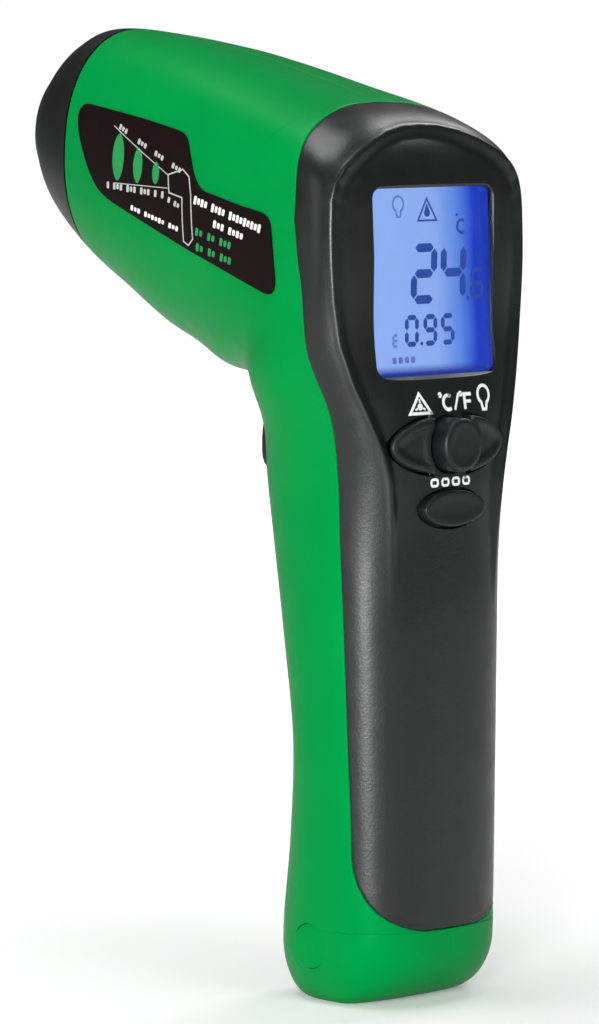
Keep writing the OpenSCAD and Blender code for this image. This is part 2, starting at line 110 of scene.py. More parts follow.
def section(t):
    last = len(SECTIONS) - 1
    i = min(int(t), last - 1)
    b, c = SECTIONS[i], SECTIONS[i + 1]
    a = SECTIONS[i - 1] if i > 0 else 2 * b - c
    d = SECTIONS[i + 2] if i < last - 1 else 2 * c - b
    f = t - i
    return 0.5 * (2 * b + (c - a) * f + (2 * a - 5 * b + 4 * c - d) * f * f
                  + (3 * b - a - 3 * c + d) * f ** 3)


def skin_points(t, angles, inset=0.0):
    """Points of the skin in section t at polar angles (0 rear, pi/2 left, pi front)."""
    s = section(t)
    front, rear = s[[0, 1]], s[[2, 3]]
    length = np.linalg.norm(rear - front)
    along = (rear - front) / length
    pull = 0.0
    if t < 2 and rear[1] < FOOT_R:
        pull = FOOT_R - math.sqrt(max(FOOT_R ** 2 - (FOOT_R - rear[1]) ** 2, 0))
    angles = np.asarray(angles, float)
    co, si = np.cos(angles), np.sin(angles)
    ahead = co < 0
    n = np.where(ahead, s[7], s[6])
    r = (np.abs(co) ** n + np.abs(si) ** n) ** (-1 / n)
    k = r * co
    depth = np.where(ahead, length - s[5] - 0.4 * pull, s[5] - pull) - inset
    bow = s[8] * (1 - k * k)
    base = rear - along * s[5]
    x = base[0] + along[0] * depth * k + bow * math.cos(TILT)
    z = base[1] + along[1] * depth * k + bow * math.sin(TILT)
    y = (s[4] * HEAD_HALF - 0.4 * pull - inset) * r * si
    return np.stack([x, y, z], axis=1)


def seam_polar(t):
    """Polar angle of the seam between the rear cover and the housing."""
    if t < COVER_START or t > COVER_END:
        return 0.0
    s = section(t)
    share = 1.0
    if t < COVER_OPEN:
        share = math.sqrt(1 - ((COVER_OPEN - t) / OPEN_RUN) ** 2)
    elif t > COVER_CLOSE:
        share = (1 - ((t - COVER_CLOSE) / CLOSE_RUN) ** 2.5) ** 0.8
    u = math.radians(s[9] * share)
    return math.atan2(math.sin(u) ** (2 / s[6]), max(math.cos(u), 0) ** (2 / s[6]))


EDGE_STEPS = np.array([0, 0.1, 0.22, 0.36, 0.6])


def even_angles(t, first, last, count, edges):
    """count angles spread evenly along section t, with closer ones beside the chosen ends."""
    fine = np.linspace(first, last, 900)
    steps = np.linalg.norm(np.diff(skin_points(t, fine), axis=0), axis=1)
    run = np.concatenate([[0], np.cumsum(steps)])
    total = run[-1]
    near = EDGE_STEPS * min(1, total / 6)
    start = near if edges[0] else near[:1]
    stop = total - near[::-1] if edges[1] else np.array([total])
    between = np.linspace(start[-1], stop[0], count - len(start) - len(stop) + 2)[1:-1]
    return np.interp(np.concatenate([start, between, stop]), run, fine)


def edge_tree(lines):
    points = np.concatenate(lines)
    tree = KDTree(len(points))
    for i, p in enumerate(points):
        tree.insert(p, i)
    tree.balance()
    return tree


def along_skin(rows, angle_of):
    return np.array([skin_points(t, [angle_of(t)])[0] for t in rows])


def seam_lines():
    """The rear cover's seam on the left, and its closing lines at both ends."""
    rows = np.concatenate([np.linspace(COVER_START, 1.9, 200),
                           np.linspace(1.9, COVER_CLOSE, 900),
                           np.linspace(COVER_CLOSE, COVER_END, 300)])
    side = along_skin(rows, seam_polar)
    ends = [skin_points(t, np.linspace(0, seam_polar(t), 60)) for t in (COVER_START, COVER_END)]
    return [side] + ends


SEAM = seam_lines()
NOSE_SEAM_T = 14.0
NOSE_RING = skin_points(NOSE_SEAM_T, np.linspace(0, math.pi, 500))
SEAM_TREE = edge_tree(SEAM)
NOSE_TREE = edge_tree([NOSE_RING])
EDGE_R = 0.34
FINE_EDGE_R = 0.1


def rounding(distance, radius):
    """How far a rounded edge lies below the surface at a distance from the edge."""
    if distance >= radius:
        return 0.0
    return radius - math.sqrt(max(radius ** 2 - (radius - distance) ** 2, 0))


def edge_inset(p):
    q = (p[0], abs(p[1]), p[2])
    inset = rounding(SEAM_TREE.find(q)[2], EDGE_R)
    return max(inset, rounding(NOSE_TREE.find(q)[2], EDGE_R))


def housing_inset(p):
    return max(edge_inset(p), rounding(abs(p[1]), FINE_EDGE_R))


# ---------------------------------------------------------------- mesh helpers
def link(mesh, name):
    obj = bpy.data.objects.new(name, mesh)
    bpy.context.scene.collection.objects.link(obj)
    return obj


def solid(name, points, faces):
    """A mesh object from points in millimetres, with its faces turned outwards."""
    mesh = bpy.data.meshes.new(name)
    mesh.from_pydata([tuple(np.asarray(p, float) * MM) for p in points], [], faces)
    bm = bmesh.new()
    bm.from_mesh(mesh)
    bmesh.ops.remove_doubles(bm, verts=bm.verts, dist=1e-8)
    bmesh.ops.dissolve_degenerate(bm, edges=bm.edges, dist=1e-8)
    bmesh.ops.recalc_face_normals(bm, faces=bm.faces)
    bm.to_mesh(mesh)
    bm.free()
    return link(mesh, name)


def finish_piece(obj, body, material, replaces=(), sharp=32):
    """Shading, material and body of a finished piece."""
    obj.data.shade_smooth()
    obj.data.set_sharp_from_angle(angle=math.radians(sharp))
    obj.data.materials.clear()
    obj.data.materials.append(material)
    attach(obj, body)
    if replaces:
        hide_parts(*replaces)
    return obj


def combine(obj, others, operation):
    """obj joined with, cut by or cut to each of the others, which are used up."""
    for other in others:
        modifier = obj.modifiers.new("combine", "BOOLEAN")
        modifier.operation = operation
        modifier.solver = "MANIFOLD"
        modifier.object = other
        depsgraph = bpy.context.evaluated_depsgraph_get()
        mesh = bpy.data.meshes.new_from_object(obj.evaluated_get(depsgraph))
        obj.modifiers.clear()
        obj.data = mesh
        bpy.data.objects.remove(other)
    return obj


def cut(obj, *others):
    return combine(obj, others, "DIFFERENCE")


def fuse(obj, *others):
    return combine(obj, others, "UNION")


def mirrored(obj, name):
    """A copy of obj on the other side of y = 0."""
    mesh = obj.data.copy()
    mesh.name = name
    for v in mesh.vertices:
        v.co.y = -v.co.y
    mesh.flip_normals()
    return link(mesh, name)


def loft(name, loops):
    """A solid through closed loops that have the same number of points."""
    n = len(loops[0])
    points = np.concatenate([np.asarray(loop, float) for loop in loops])
    faces = []
    for i in range(len(loops) - 1):
        for j in range(n):
            k = (j + 1) % n
            faces.append((i * n + j, i * n + k, (i + 1) * n + k, (i + 1) * n + j))
    faces.append(tuple(range(n)))
    faces.append(tuple(range((len(loops) - 1) * n, len(loops) * n)))
    return solid(name, points, faces)


def prism_y(name, outline, y0, y1):
    """A side view outline of (x, z) pushed from y0 to y1."""
    return loft(name, [[(x, y, z) for x, z in outline] for y in (y0, y1)])


def prism_x(name, outline, x0, x1):
    """A rear view outline of (y, z) pushed from x0 to x1."""
    return loft(name, [[(x, y, z) for y, z in outline] for x in (x0, x1)])


def lathe(name, profile, origin, axis, steps=64):
    """Turns (radius, distance) pairs about an axis. A radius of 0 closes an end."""
    axis = Vector(axis).normalized()
    side = axis.orthogonal().normalized()
    other = axis.cross(side)
    points, rings = [], []
    for r, h in profile:
        centre = Vector(origin) + axis * h
        if r < 1e-6:
            rings.append([len(points)])
            points.append(tuple(centre))
            continue
        rings.append(list(range(len(points), len(points) + steps)))
        for j in range(steps):
            a = 2 * math.pi * j / steps
            points.append(tuple(centre + (side * math.cos(a) + other * math.sin(a)) * r))
    faces = []
    for a, b in zip(rings, rings[1:] + rings[:1]):
        if len(a) == 1 and len(b) == 1:
            continue
        for j in range(steps):
            k = (j + 1) % steps
            if len(a) == 1:
                faces.append((a[0], b[j], b[k]))
            elif len(b) == 1:
                faces.append((a[j], a[k], b[0]))
            else:
                faces.append((a[j], a[k], b[k], b[j]))
    return solid(name, points, faces)


def lathe_y(name, at, profile, steps=72):
    """Turns (radius, y) pairs about the line along y at (x, z)."""
    return lathe(name, profile, (at[0], 0, at[1]), (0, 1, 0), steps)


def rod(name, at, r, y0, y1):
    """A cylinder along y at (x, z), from y0 to y1."""
    return lathe_y(name, at, [(0, y0), (r, y0), (r, y1), (0, y1)], 48)


def block(name, low, high, round_by=0.0):
    """A box between two corners whose long edges along x are rounded."""
    outline = rounded_outline(high[1] - low[1], high[2] - low[2], max(round_by, 0.01), 4)
    middle = ((low[1] + high[1]) / 2, (low[2] + high[2]) / 2)
    return prism_x(name, [(middle[0] + a, middle[1] + b) for a, b in outline], low[0], high[0])


def rounded_outline(w, h, r, steps=8):
    """A rounded rectangle about (0, 0)."""
    points = []
    for i, (a, b) in enumerate([(1, 1), (-1, 1), (-1, -1), (1, -1)]):
        for j in range(steps + 1):
            angle = math.pi / 2 * (i + j / steps)
            points.append((a * (w / 2 - r) + r * math.cos(angle),
                           b * (h / 2 - r) + r * math.sin(angle)))
    return points


def cap_surface(outline, spacing, offsets=(0.1, 0.22, 0.4, 0.7)):
    """Points and triangles that fill an outline, with closer points beside its edge."""
    edge = np.array(outline, float)
    n = len(edge)
    tree = edge_tree([np.column_stack([dense(edge), np.zeros(len(dense(edge)))])])
    area = sum(edge[i][0] * edge[(i + 1) % n][1] - edge[(i + 1) % n][0] * edge[i][1]
               for i in range(n))
    turn = 1 if area > 0 else -1
    points = [Vector(p) for p in edge]
    for offset in offsets:
        for i in range(n):
            t = edge[(i + 1) % n] - edge[i - 1]
            t = t / max(np.linalg.norm(t), 1e-9)
            p = edge[i] + turn * offset * np.array([-t[1], t[0]])
            if abs(tree.find((p[0], p[1], 0))[2] - offset) < 0.02:
                points.append(Vector(p))
    low, high = edge.min(0), edge.max(0)
    for a in np.arange(low[0] + spacing / 2, high[0], spacing):
        for b in np.arange(low[1] + spacing / 2, high[1], spacing):
            if tree.find((a, b, 0))[2] > (offsets[-1] if offsets else 0) + spacing * 0.4:
                points.append(Vector((a, b)))
    edges = [(i, (i + 1) % n) for i in range(n)]
    found = delaunay_2d_cdt(points, edges, [list(range(n))], 1, 1e-5)
    used = sorted({i for f in found[2] for i in f})
    place = {old: new for new, old in enumerate(used)}
    flat = np.array([tuple(found[0][i]) for i in used])
    distances = np.array([tree.find((p[0], p[1], 0))[2] for p in flat])
    return flat, [tuple(place[i] for i in f) for f in found[2]], distances


def dense(edge, step=0.08):
    """Points along a closed outline, closely spaced."""
    out = []
    for a, b in zip(edge, np.roll(edge, -1, axis=0)):
        count = max(1, int(np.linalg.norm(b - a) / step))
        out.append(a + (b - a) * np.linspace(0, 1, count, endpoint=False)[:, None])
    return np.concatenate(out)


def two_sided(triangles, first, n):
    """Faces of a closed slab whose near points start at first and whose far points follow n later,
    with a wall round the triangles' rim."""
    border = dict.fromkeys((a, b) for f in triangles for a, b in zip(f, f[1:] + f[:1]))
    faces = [tuple(first + i for i in f) for f in triangles]
    faces += [tuple(first + n + i for i in reversed(f)) for f in triangles]
    return faces + [(first + b, first + a, first + n + a, first + n + b)
                    for a, b in border if (b, a) not in border]


def cushion(name, outline, height, back, spacing=0.6, offsets=(0.1, 0.22, 0.4, 0.7)):
    """A solid with outline's shape whose near side lies at height(points, distances) and whose far
    side lies at back(points). Both give x for rear view points (y, z)."""
    flat, triangles, distances = cap_surface(outline, spacing, offsets)
    n = len(flat)
    near = np.column_stack([height(flat, distances), flat])
    far = np.column_stack([back(flat), flat])
    return solid(name, np.concatenate([near, far]), two_sided(triangles, 0, n))


# ---------------------------------------------------------------- thick shells of the skin
def above_floor(t):
    return t + (1 - t) * WALL / SECTIONS[1][1] if t < 1 else t


def behind_front(t):
    return 15 + 0.72 * (t - 15) if t > 15 else t


def inner_row(t):
    return behind_front(above_floor(t))


def shell(name, rows, angles_of, inset_of, floor=False):
    """A thick piece of the skin. angles_of(t) gives the polar angles of a row's points."""
    outer, inner = [], []
    for t in rows:
        angles = angles_of(t)
        plain = skin_points(t, angles)
        inset = np.array([inset_of(p) for p in plain])
        outer.append(skin_points(t, angles, inset))
        inner.append(skin_points(inner_row(t), angles, WALL))
    count = len(angles)
    half = len(rows) * count
    faces = []
    for i in range(len(rows) - 1):
        for j in range(count - 1):
            a, b = i * count + j, (i + 1) * count + j
            faces.append((a, a + 1, b + 1, b))
            faces.append((half + a, half + b, half + b + 1, half + a + 1))
        for j in (0, count - 1):
            a, b = i * count + j, (i + 1) * count + j
            faces.append((a, b, half + b, half + a))
    top = (len(rows) - 1) * count
    for j in range(count - 1):
        faces.append((top + j, top + j + 1, half + top + j + 1, half + top + j))
        if not floor:
            faces.append((j, half + j, half + j + 1, j + 1))
    if floor:
        faces.append((0, count - 1, half + count - 1, half))
        faces.append(tuple(range(count)))
        faces.append(tuple(range(half, half + count)))
    return solid(name, np.concatenate(outer + inner), faces)


def foot_rows():
    """Rows that are evenly spread round the foot's rounding."""
    return [FOOT_R * (1 - math.cos(math.pi / 2 * i / 12)) / SECTIONS[1][1] for i in range(12)]


NEAR_EDGE = [0, 0.012, 0.024, 0.04, 0.065]


def start_rows():
    return [COVER_START + d for d in NEAR_EDGE]


def opening_rows():
    """Rows round the rear cover's lower end, where its seam turns quickly."""
    angles = [math.radians(a) for a in (16, 26, 36, 46, 56, 68, 80)]
    return [COVER_OPEN - OPEN_RUN * math.cos(a) for a in angles]


def closing_rows():
    """Rows round the rear cover's upper end."""
    rows = [9.34 + 0.04 * i for i in range(12)]
    rows += [COVER_CLOSE + 0.035 * i for i in range(42)]
    return rows + [COVER_END - d for d in reversed(NEAR_EDGE)]


def long_rows():
    return [COVER_OPEN + (9.3 - COVER_OPEN) * i / 58 for i in range(59)]


def cover_rows():
    return sorted(start_rows() + opening_rows() + long_rows() + closing_rows())


def housing_rows():
    below = [1.0, 1.02, 1.04, COVER_START - 0.01]
    above = [COVER_END + 0.02 + d for d in NEAR_EDGE]
    head = [11.55 + 2.35 * i / 21 for i in range(22)]
    front = [13.98 - d for d in reversed(NEAR_EDGE)]
    return foot_rows() + below + cover_rows() + above + head + front


# ---------------------------------------------------------------- places, as in the CAD
HINGE = (3.4, 9.0)
DOOR_W = 27.2
DOOR_TOP = 77.0
DOOR_GAP = 0.25
DOOR_REACH = 9.9
FOOT_EDGE = 8.4
LUG_Y = (8.6, 11.2)
PIN_R = 1.5
SLOT_Z = (80.7, 93.9)
TRIGGER_HALF = 5.5
BUTTON_Z = 87.3
MODE_Z = 77.4
MODE_HALF = 6.8
MODE_RISE = 2.8
COVER_X = -12.1
CENTRE_R = 4.2
BUTTON_GAP = 0.2
RING_R = CENTRE_R + 0.9
EYE_HALF = 12.6
EYE_RISE = 4.6
HORN_SHARE = 0.8
POST_Y = 17.7
DISPLAY = (-9.1, 112.5)
DISPLAY_TILT = math.radians(2.8)
WINDOW = (27.2, 29.0)
NOSE = (68.6, 134.0)
APERTURE_DROP = 2.8
LASER_RISE = 8.0
SCREWS = [(-2.5, 15.5, 15.2), (25, 105.5, 13.2), (46, 115.5, 11.8), (8, 133.5, 17.4)]
AXIS = (math.cos(TILT), 0, math.sin(TILT))
DOWN = (math.sin(TILT), 0, -math.cos(TILT))


def on_axis(down):
    """The point of the optical axis's frame that is down mm below it at the nose."""
    return (NOSE[0] + DOWN[0] * down, 0, NOSE[1] + DOWN[2] * down)


def door_outline(gap):
    """Side view of everything that swings with the battery door."""
    reach = DOOR_REACH - gap
    edge = FOOT_EDGE - 10 * gap
    low = -math.acos((edge - HINGE[0]) / reach)
    high = math.acos(-gap / reach)
    arc = [(HINGE[0] + reach * math.cos(a), HINGE[1] + reach * math.sin(a))
           for a in np.linspace(low, high, 40)]
    return arc + [(HINGE[0] - gap, DOOR_TOP + gap), (34, DOOR_TOP + gap), (34, -5), (edge, -5)]


def eye_outline(grow=0.0, steps=60):
    """The wide oval's left part, beside the centre button's ring."""
    half, rise = EYE_HALF + grow, EYE_RISE + grow
    ring = RING_R - grow
    cut_y = HORN_SHARE * RING_R - grow
    first = math.acos(cut_y / half)
    oval = [(half * math.cos(a), rise * math.sin(a)) for a in np.linspace(first, -first, steps)]
    turn = math.acos(cut_y / ring)
    arc = [(ring * math.cos(a), ring * math.sin(a)) for a in np.linspace(-turn, turn, 24)]
    return [(y, BUTTON_Z + z) for y, z in oval + arc]


def ellipse_outline(y, z, half, rise, steps):
    return [(y + half * math.cos(a), z + rise * math.sin(a))
            for a in np.linspace(0, 2 * math.pi, steps, endpoint=False)]


def oval_outline(grow=0.0):
    return ellipse_outline(0, MODE_Z, MODE_HALF + grow, MODE_RISE + grow, 72)


def circle_outline(y, z, r, steps=64):
    return ellipse_outline(y, z, r, r, steps)


def flip_y(outline):
    return [(-y, z) for y, z in outline]


def on_display(x, y, z):
    """A point of the display's own frame, whose x runs into the display."""
    c, s = math.cos(DISPLAY_TILT), math.sin(DISPLAY_TILT)
    return (DISPLAY[0] + x * c + z * s, y, DISPLAY[1] - x * s + z * c)


def display_prism(name, loops):
    """A solid through display loops, each (x, outline)."""
    return loft(name, [[on_display(x, y, z) for y, z in outline] for x, outline in loops])


# ---------------------------------------------------------------- materials
def node(tree, kind, **values):
    made = tree.nodes.new(kind)
    for name, value in values.items():
        if name in made.inputs:
            made.inputs[name].default_value = value
        else:
            setattr(made, name, value)
    return made


def object_noise(tree, scale, detail=3.0, roughness=0.55):
    place = tree.nodes.get("place") or node(tree, "ShaderNodeTexCoord", name="place")
    noise = node(tree, "ShaderNodeTexNoise", Scale=scale, Detail=detail, Roughness=roughness)
    tree.links.new(place.outputs["Object"], noise.inputs["Vector"])
    return noise


def ramp(tree, source, stops):
    made = node(tree, "ShaderNodeValToRGB")
    tree.links.new(source, made.inputs["Fac"])
    elements = made.color_ramp.elements
    while len(elements) < len(stops):
        elements.new(0.5)
    for element, (at, colour) in zip(elements, stops):
        element.position = at
        element.color = (*colour, 1)
    return made


def remap(tree, source, first, last, low=0.0, high=1.0):
    """Maps first to last onto low to high."""
    made = node(tree, "ShaderNodeMapRange", **{"From Min": first, "From Max": last,
                                               "To Min": low, "To Max": high})
    tree.links.new(source, made.inputs["Value"])
    return made


def spread(tree, source, low, high):
    return remap(tree, source, 0.3, 0.7, low, high)


def tint(tree, socket, scale, detail, low, high):
    """Patches of colour between low and high."""
    patches = object_noise(tree, scale, detail)
    tones = ramp(tree, patches.outputs["Fac"], [(0.3, low), (0.7, high)])
    tree.links.new(tones.outputs["Color"], socket)


def smears(tree, shader, noise, low, high):
    """Patches of roughness between low and high."""
    gloss = spread(tree, noise.outputs["Fac"], low, high)
    tree.links.new(gloss.outputs["Result"], shader.inputs["Roughness"])


def bump(tree, shader, source, depth, strength=1.0, below=None):
    made = node(tree, "ShaderNodeBump", Strength=strength, Distance=depth)
    tree.links.new(source, made.inputs["Height"])
    if below:
        tree.links.new(below.outputs["Normal"], made.inputs["Normal"])
    tree.links.new(made.outputs["Normal"], shader.inputs["Normal"])
    return made


def material(name, **values):
    made = bpy.data.materials.new(name)
    made.use_nodes = True
    shader = made.node_tree.nodes["Principled BSDF"]
    for key, value in values.items():
        socket = shader.inputs[key.replace("_", " ")]
        socket.default_value = value
    return made, made.node_tree, shader


def shade(colour, by):
    return tuple(min(1.0, c * by) for c in colour)


def plastic(name, colour, rough, grain=1800, grain_depth=0.00002, mottle=90, vary=0.06, **values):
    """Moulded plastic: slightly uneven colour and gloss over a fine texture."""
    made, tree, shader = material(name, **values)
    tint(tree, shader.inputs["Base Color"], mottle, 3, shade(colour, 1 - vary),
         shade(colour, 1 + vary))
    smears(tree, shader, object_noise(tree, 260, 4, 0.65), rough - 0.05, rough + 0.06)
    soft = object_noise(tree, 420, 2)
    waves = bump(tree, shader, soft.outputs["Fac"], 0.00003, 0.5)
    fine = object_noise(tree, grain, 2, 0.5)
    bump(tree, shader, fine.outputs["Fac"], grain_depth, 1.0, waves)
    return made


def print_ink(name, colour, rough=0.5):
    return plastic(name, colour, rough, grain=5000, grain_depth=0.000004, mottle=1500, vary=0.05,
                   Specular_IOR_Level=0.2)


def glowing_ink(name, colour):
    """A display mark that lets a little of the backlight through."""
    made, tree, shader = material(name, Roughness=0.4, Emission_Strength=0.8,
                                  Base_Color=(0.01, 0.015, 0.05, 1))
    tint(tree, shader.inputs["Emission Color"], 700, 3, shade(colour, 0.88), shade(colour, 1.1))
    return made


def metal(name, colour, rough, scratch=900):
    made, tree, shader = material(name, Metallic=1.0)
    tint(tree, shader.inputs["Base Color"], 600, 4, shade(colour, 0.85), colour)
    lines = object_noise(tree, scratch, 5, 0.7)
    smears(tree, shader, lines, rough - 0.06, rough + 0.1)
    bump(tree, shader, lines.outputs["Fac"], 0.000006)
    return made


def clear(name, colour, rough=0.03, ior=1.49):
    """Clear or tinted moulded plastic with slightly uneven tint and gloss."""
    made, tree, shader = material(name, Transmission_Weight=1.0, IOR=ior)
    tint(tree, shader.inputs["Base Color"], 300, 2, shade(colour, 0.97), colour)
    smears(tree, shader, object_noise(tree, 500, 3), rough, rough + 0.03)
    return made


LCD_PALE = (0.28, 0.44, 0.88)
LCD_MIDDLE = (0.10, 0.23, 0.72)
LCD_DEEP = (0.0, 0.03, 0.50)
LCD_GLOW = 1.0


def lcd_glass():
    """The lit display: pale on the left and deep blue along its right edge and its bottom."""
    made, tree, shader = material("lcd_glass", Roughness=0.3, Emission_Strength=LCD_GLOW,
                                  Base_Color=(0.01, 0.02, 0.07, 1))
    place = node(tree, "ShaderNodeTexCoord", name="place")
    axes = node(tree, "ShaderNodeSeparateXYZ")
    tree.links.new(place.outputs["Object"], axes.inputs["Vector"])
    across = remap(tree, axes.outputs["Y"], 14.5 * MM, -14.5 * MM)
    patches = object_noise(tree, 120, 3)
    uneven = node(tree, "ShaderNodeMath", operation="MULTIPLY_ADD")
    uneven.inputs[1].default_value = 0.06
    tree.links.new(patches.outputs["Fac"], uneven.inputs[0])
    tree.links.new(across.outputs["Result"], uneven.inputs[2])
    tones = ramp(tree, uneven.outputs["Value"],
                 [(0.05, LCD_PALE), (0.58, shade(LCD_PALE, 0.93)), (0.77, LCD_MIDDLE),
                  (0.9, LCD_DEEP), (1.0, shade(LCD_DEEP, 0.75))])
    up = remap(tree, axes.outputs["Z"], (DISPLAY[1] - 14.2) * MM, (DISPLAY[1] - 12.9) * MM)
    both = node(tree, "ShaderNodeMix", data_type="RGBA")
    tree.links.new(up.outputs["Result"], both.inputs["Factor"])
    both.inputs[6].default_value = (0.01, 0.03, 0.3, 1)
    tree.links.new(tones.outputs["Color"], both.inputs[7])
    tree.links.new(both.outputs[2], shader.inputs["Emission Color"])
    fine = object_noise(tree, 3000, 2)
    bump(tree, shader, fine.outputs["Fac"], 0.000004)
    return made


def board_material():
    """Green solder mask with copper tracks under it."""
    made, tree, shader = material("board", Coat_Weight=0.4, Coat_Roughness=0.2)
    place = node(tree, "ShaderNodeTexCoord", name="place")
    tracks = node(tree, "ShaderNodeTexBrick", Scale=260.0)
    tracks.inputs["Color1"].default_value = (0.01, 0.13, 0.05, 1)
    tracks.inputs["Color2"].default_value = (0.012, 0.17, 0.065, 1)
    tracks.inputs["Mortar"].default_value = (0.03, 0.24, 0.1, 1)
    tracks.inputs["Mortar Size"].default_value = 0.06
    turn = node(tree, "ShaderNodeMapping")
    turn.inputs["Rotation"].default_value = (0, math.pi / 2, 0)
    tree.links.new(place.outputs["Object"], turn.inputs["Vector"])
    tree.links.new(turn.outputs["Vector"], tracks.inputs["Vector"])
    tree.links.new(tracks.outputs["Color"], shader.inputs["Base Color"])
    smears(tree, shader, object_noise(tree, 800, 3), 0.4, 0.55)
    bump(tree, shader, tracks.outputs["Fac"], 0.00003)
    return made


GREEN = plastic("green_abs", (0.0, 0.27, 0.05), 0.36, grain=2600, grain_depth=0.000012,
                mottle=60, vary=0.04, IOR=1.22, Specular_Tint=(0.05, 1, 0.55, 1))
BLACK = plastic("black_abs", (0.007, 0.009, 0.008), 0.33, grain=2200, grain_depth=0.00002,
                mottle=120, vary=0.10, Specular_IOR_Level=0.6)
BUTTON = plastic("button_rubber", (0.008, 0.010, 0.010), 0.42, grain=2600, grain_depth=0.00002,
                 mottle=200, vary=0.10, Specular_IOR_Level=0.45)
INNER = plastic("inner_plastic", (0.018, 0.018, 0.020), 0.5)
BUZZER = plastic("buzzer_case", (0.012, 0.012, 0.013), 0.3)
CHIP = plastic("chip_resin", (0.014, 0.014, 0.015), 0.6, grain=3500)
FILM = plastic("label_film", (0.008, 0.003, 0.003), 0.5, grain=4000, grain_depth=0.000006,
               mottle=300, vary=0.12, Specular_IOR_Level=0.12)
WHITE_INK = print_ink("white_ink", (0.93, 0.94, 0.93))
GREY_INK = print_ink("grey_ink", (0.50, 0.51, 0.49))
GREEN_INK = print_ink("green_ink", (0.02, 0.30, 0.08))
SEGMENT_INK = glowing_ink("segment_dye", (0.02, 0.07, 0.40))
FAINT_INK = glowing_ink("faint_dye", (0.13, 0.21, 0.66))
STEEL = metal("steel", (0.62, 0.63, 0.65), 0.3)
BRASS = metal("brass", (0.80, 0.58, 0.25), 0.3)
LENS = clear("lens_plastic", (0.82, 0.84, 0.86), 0.18, 1.53)
WINDOW_PLASTIC = clear("window_plastic", (0.97, 0.98, 1.0), 0.05, 1.16)
RED_WINDOW = clear("red_window", (0.8, 0.06, 0.05))
LCD = lcd_glass()
BACKLIGHT = plastic("backlight_diffuser", (0.55, 0.65, 0.95), 0.4)
BOARD = board_material()
JACKET = plastic("battery_jacket", (0.03, 0.032, 0.035), 0.25, grain=3000, mottle=400)
BAND = metal("jacket_band", (0.60, 0.38, 0.16), 0.35)
WIRE = plastic("wire_insulation", (0.5, 0.012, 0.012), 0.4, mottle=700)


# ---------------------------------------------------------------- housing
def housing_angles(t):
    return even_angles(t, seam_polar(t), math.pi, 46, (True, True))


def half_housing(name, right):
    """One half of the housing with its bosses, ribs and cuts, drawn on the left."""
    obj = shell(name, housing_rows(), housing_angles, housing_inset, floor=True)
    bosses = [rod("boss", p[:2], 3.6, 0.05, p[2]) for p in SCREWS]
    bosses.append(rod("hinge_boss", HINGE, 4.6, LUG_Y[1] + 0.2, 15.3))
    bosses.append(block("rib", (-4, 0.05, 20.2), (3, 15.4, 21.6)))
    fuse(obj, *bosses)
    cutters = [prism_y("door", door_outline(DOOR_GAP), -(DOOR_W / 2 + DOOR_GAP),
                       DOOR_W / 2 + DOOR_GAP),
               block("lug_room", (HINGE[0], -1, WALL + 0.1), (17.4, LUG_Y[1] + 0.15, 19.7)),
               block("slot", (12, -5.75, SLOT_Z[0]), (32, 5.75, SLOT_Z[1]), 0.8),
               rod("pin_hole", HINGE, PIN_R + 0.02, 11, 20),
               pin_recess()]
    for x, z, _ in SCREWS:
        cutters.append(rod("screw_hole", (x, z), 1.3 if right else 1.12, -1, 9))
        if right:
            cutters.append(rod("screw_recess", (x, z), 2.6, 6, 30))
    cut(obj, *cutters)
    return obj


def pin_recess():
    """The round recess that holds a hinge pin's head, with a broken edge."""
    profile = [(0, 14.95), (3.6, 14.95), (3.6, 16.3), (5.7, 18.4), (0, 18.4)]
    return lathe_y("recess", HINGE, profile)


def make_housing():
    left = half_housing("left_housing_shell", False)
    finish_piece(left, "instrument", GREEN, ["left_housing"])
    source = half_housing("right_housing_source", True)
    right = mirrored(source, "right_housing_shell")
    bpy.data.objects.remove(source)
    finish_piece(right, "instrument", GREEN, ["right_housing"])


def door_angles(t):
    return even_angles(t, math.radians(100), math.radians(260), 64, (False, False))


def make_battery_door():
    rows = foot_rows() + [1.0 + 4.6 * i / 40 for i in range(41)]
    obj = shell("battery_door_shell", rows, door_angles, lambda p: 0.0, floor=True)
    region = prism_y("region", door_outline(0), -DOOR_W / 2, DOOR_W / 2)
    combine(obj, [region], "INTERSECT")
    for side in (1, -1):
        y0, y1 = sorted((side * LUG_Y[0], side * LUG_Y[1]))
        hub = rod("hub", HINGE, 3.0, y0, y1)
        arm = [(HINGE[0], HINGE[1] - 2.6), (12, 13.5), (12, 20), (HINGE[0], HINGE[1] + 2.8)]
        fuse(hub, prism_y("arm", arm, y0, y1))
        cut(hub, rod("bore", HINGE, PIN_R + 0.06, y0 - 1, y1 + 1))
        fuse(obj, hub)
    finish_piece(obj, "battery_door", GREEN, ["battery_door"])


def make_hinge_pins():
    """Two pins with low domed heads that nearly fill their recesses."""
    profile = [(0, LUG_Y[0] - 0.2), (1.3, LUG_Y[0] - 0.2), (PIN_R, LUG_Y[0]), (PIN_R, 15.0),
               (3.5, 15.0), (3.5, 15.75), (3.42, 15.84), (3.2, 15.88), (0, 15.92)]
    left = lathe_y("hinge_pin_left", HINGE, profile)
    right = mirrored(left, "hinge_pin_right")
    finish_piece(left, "instrument", GREEN, ["hinge_pins"])
    finish_piece(right, "instrument", GREEN)


# ---------------------------------------------------------------- rear cover
# The crest beside the display face, in the rear view from the top middle down the left (y, z)
CREST = [(0, 136.2), (4, 136.0), (8, 135.2), (11.5, 134.0), (15.5, 132.0), (18.4, 130.0),
         (20.2, 127.8), (21.0, 125.0), (21.2, 121), (21.2, 116), (20.8, 110), (19.8, 103),
         (18.0, 97), (16.0, 92), (13.8, 86.5), (12.6, 82), (12.0, 76), (11.8, 68), (11.6, 50),
         (11.4, 30), (11.2, 12), (11.2, -20)]


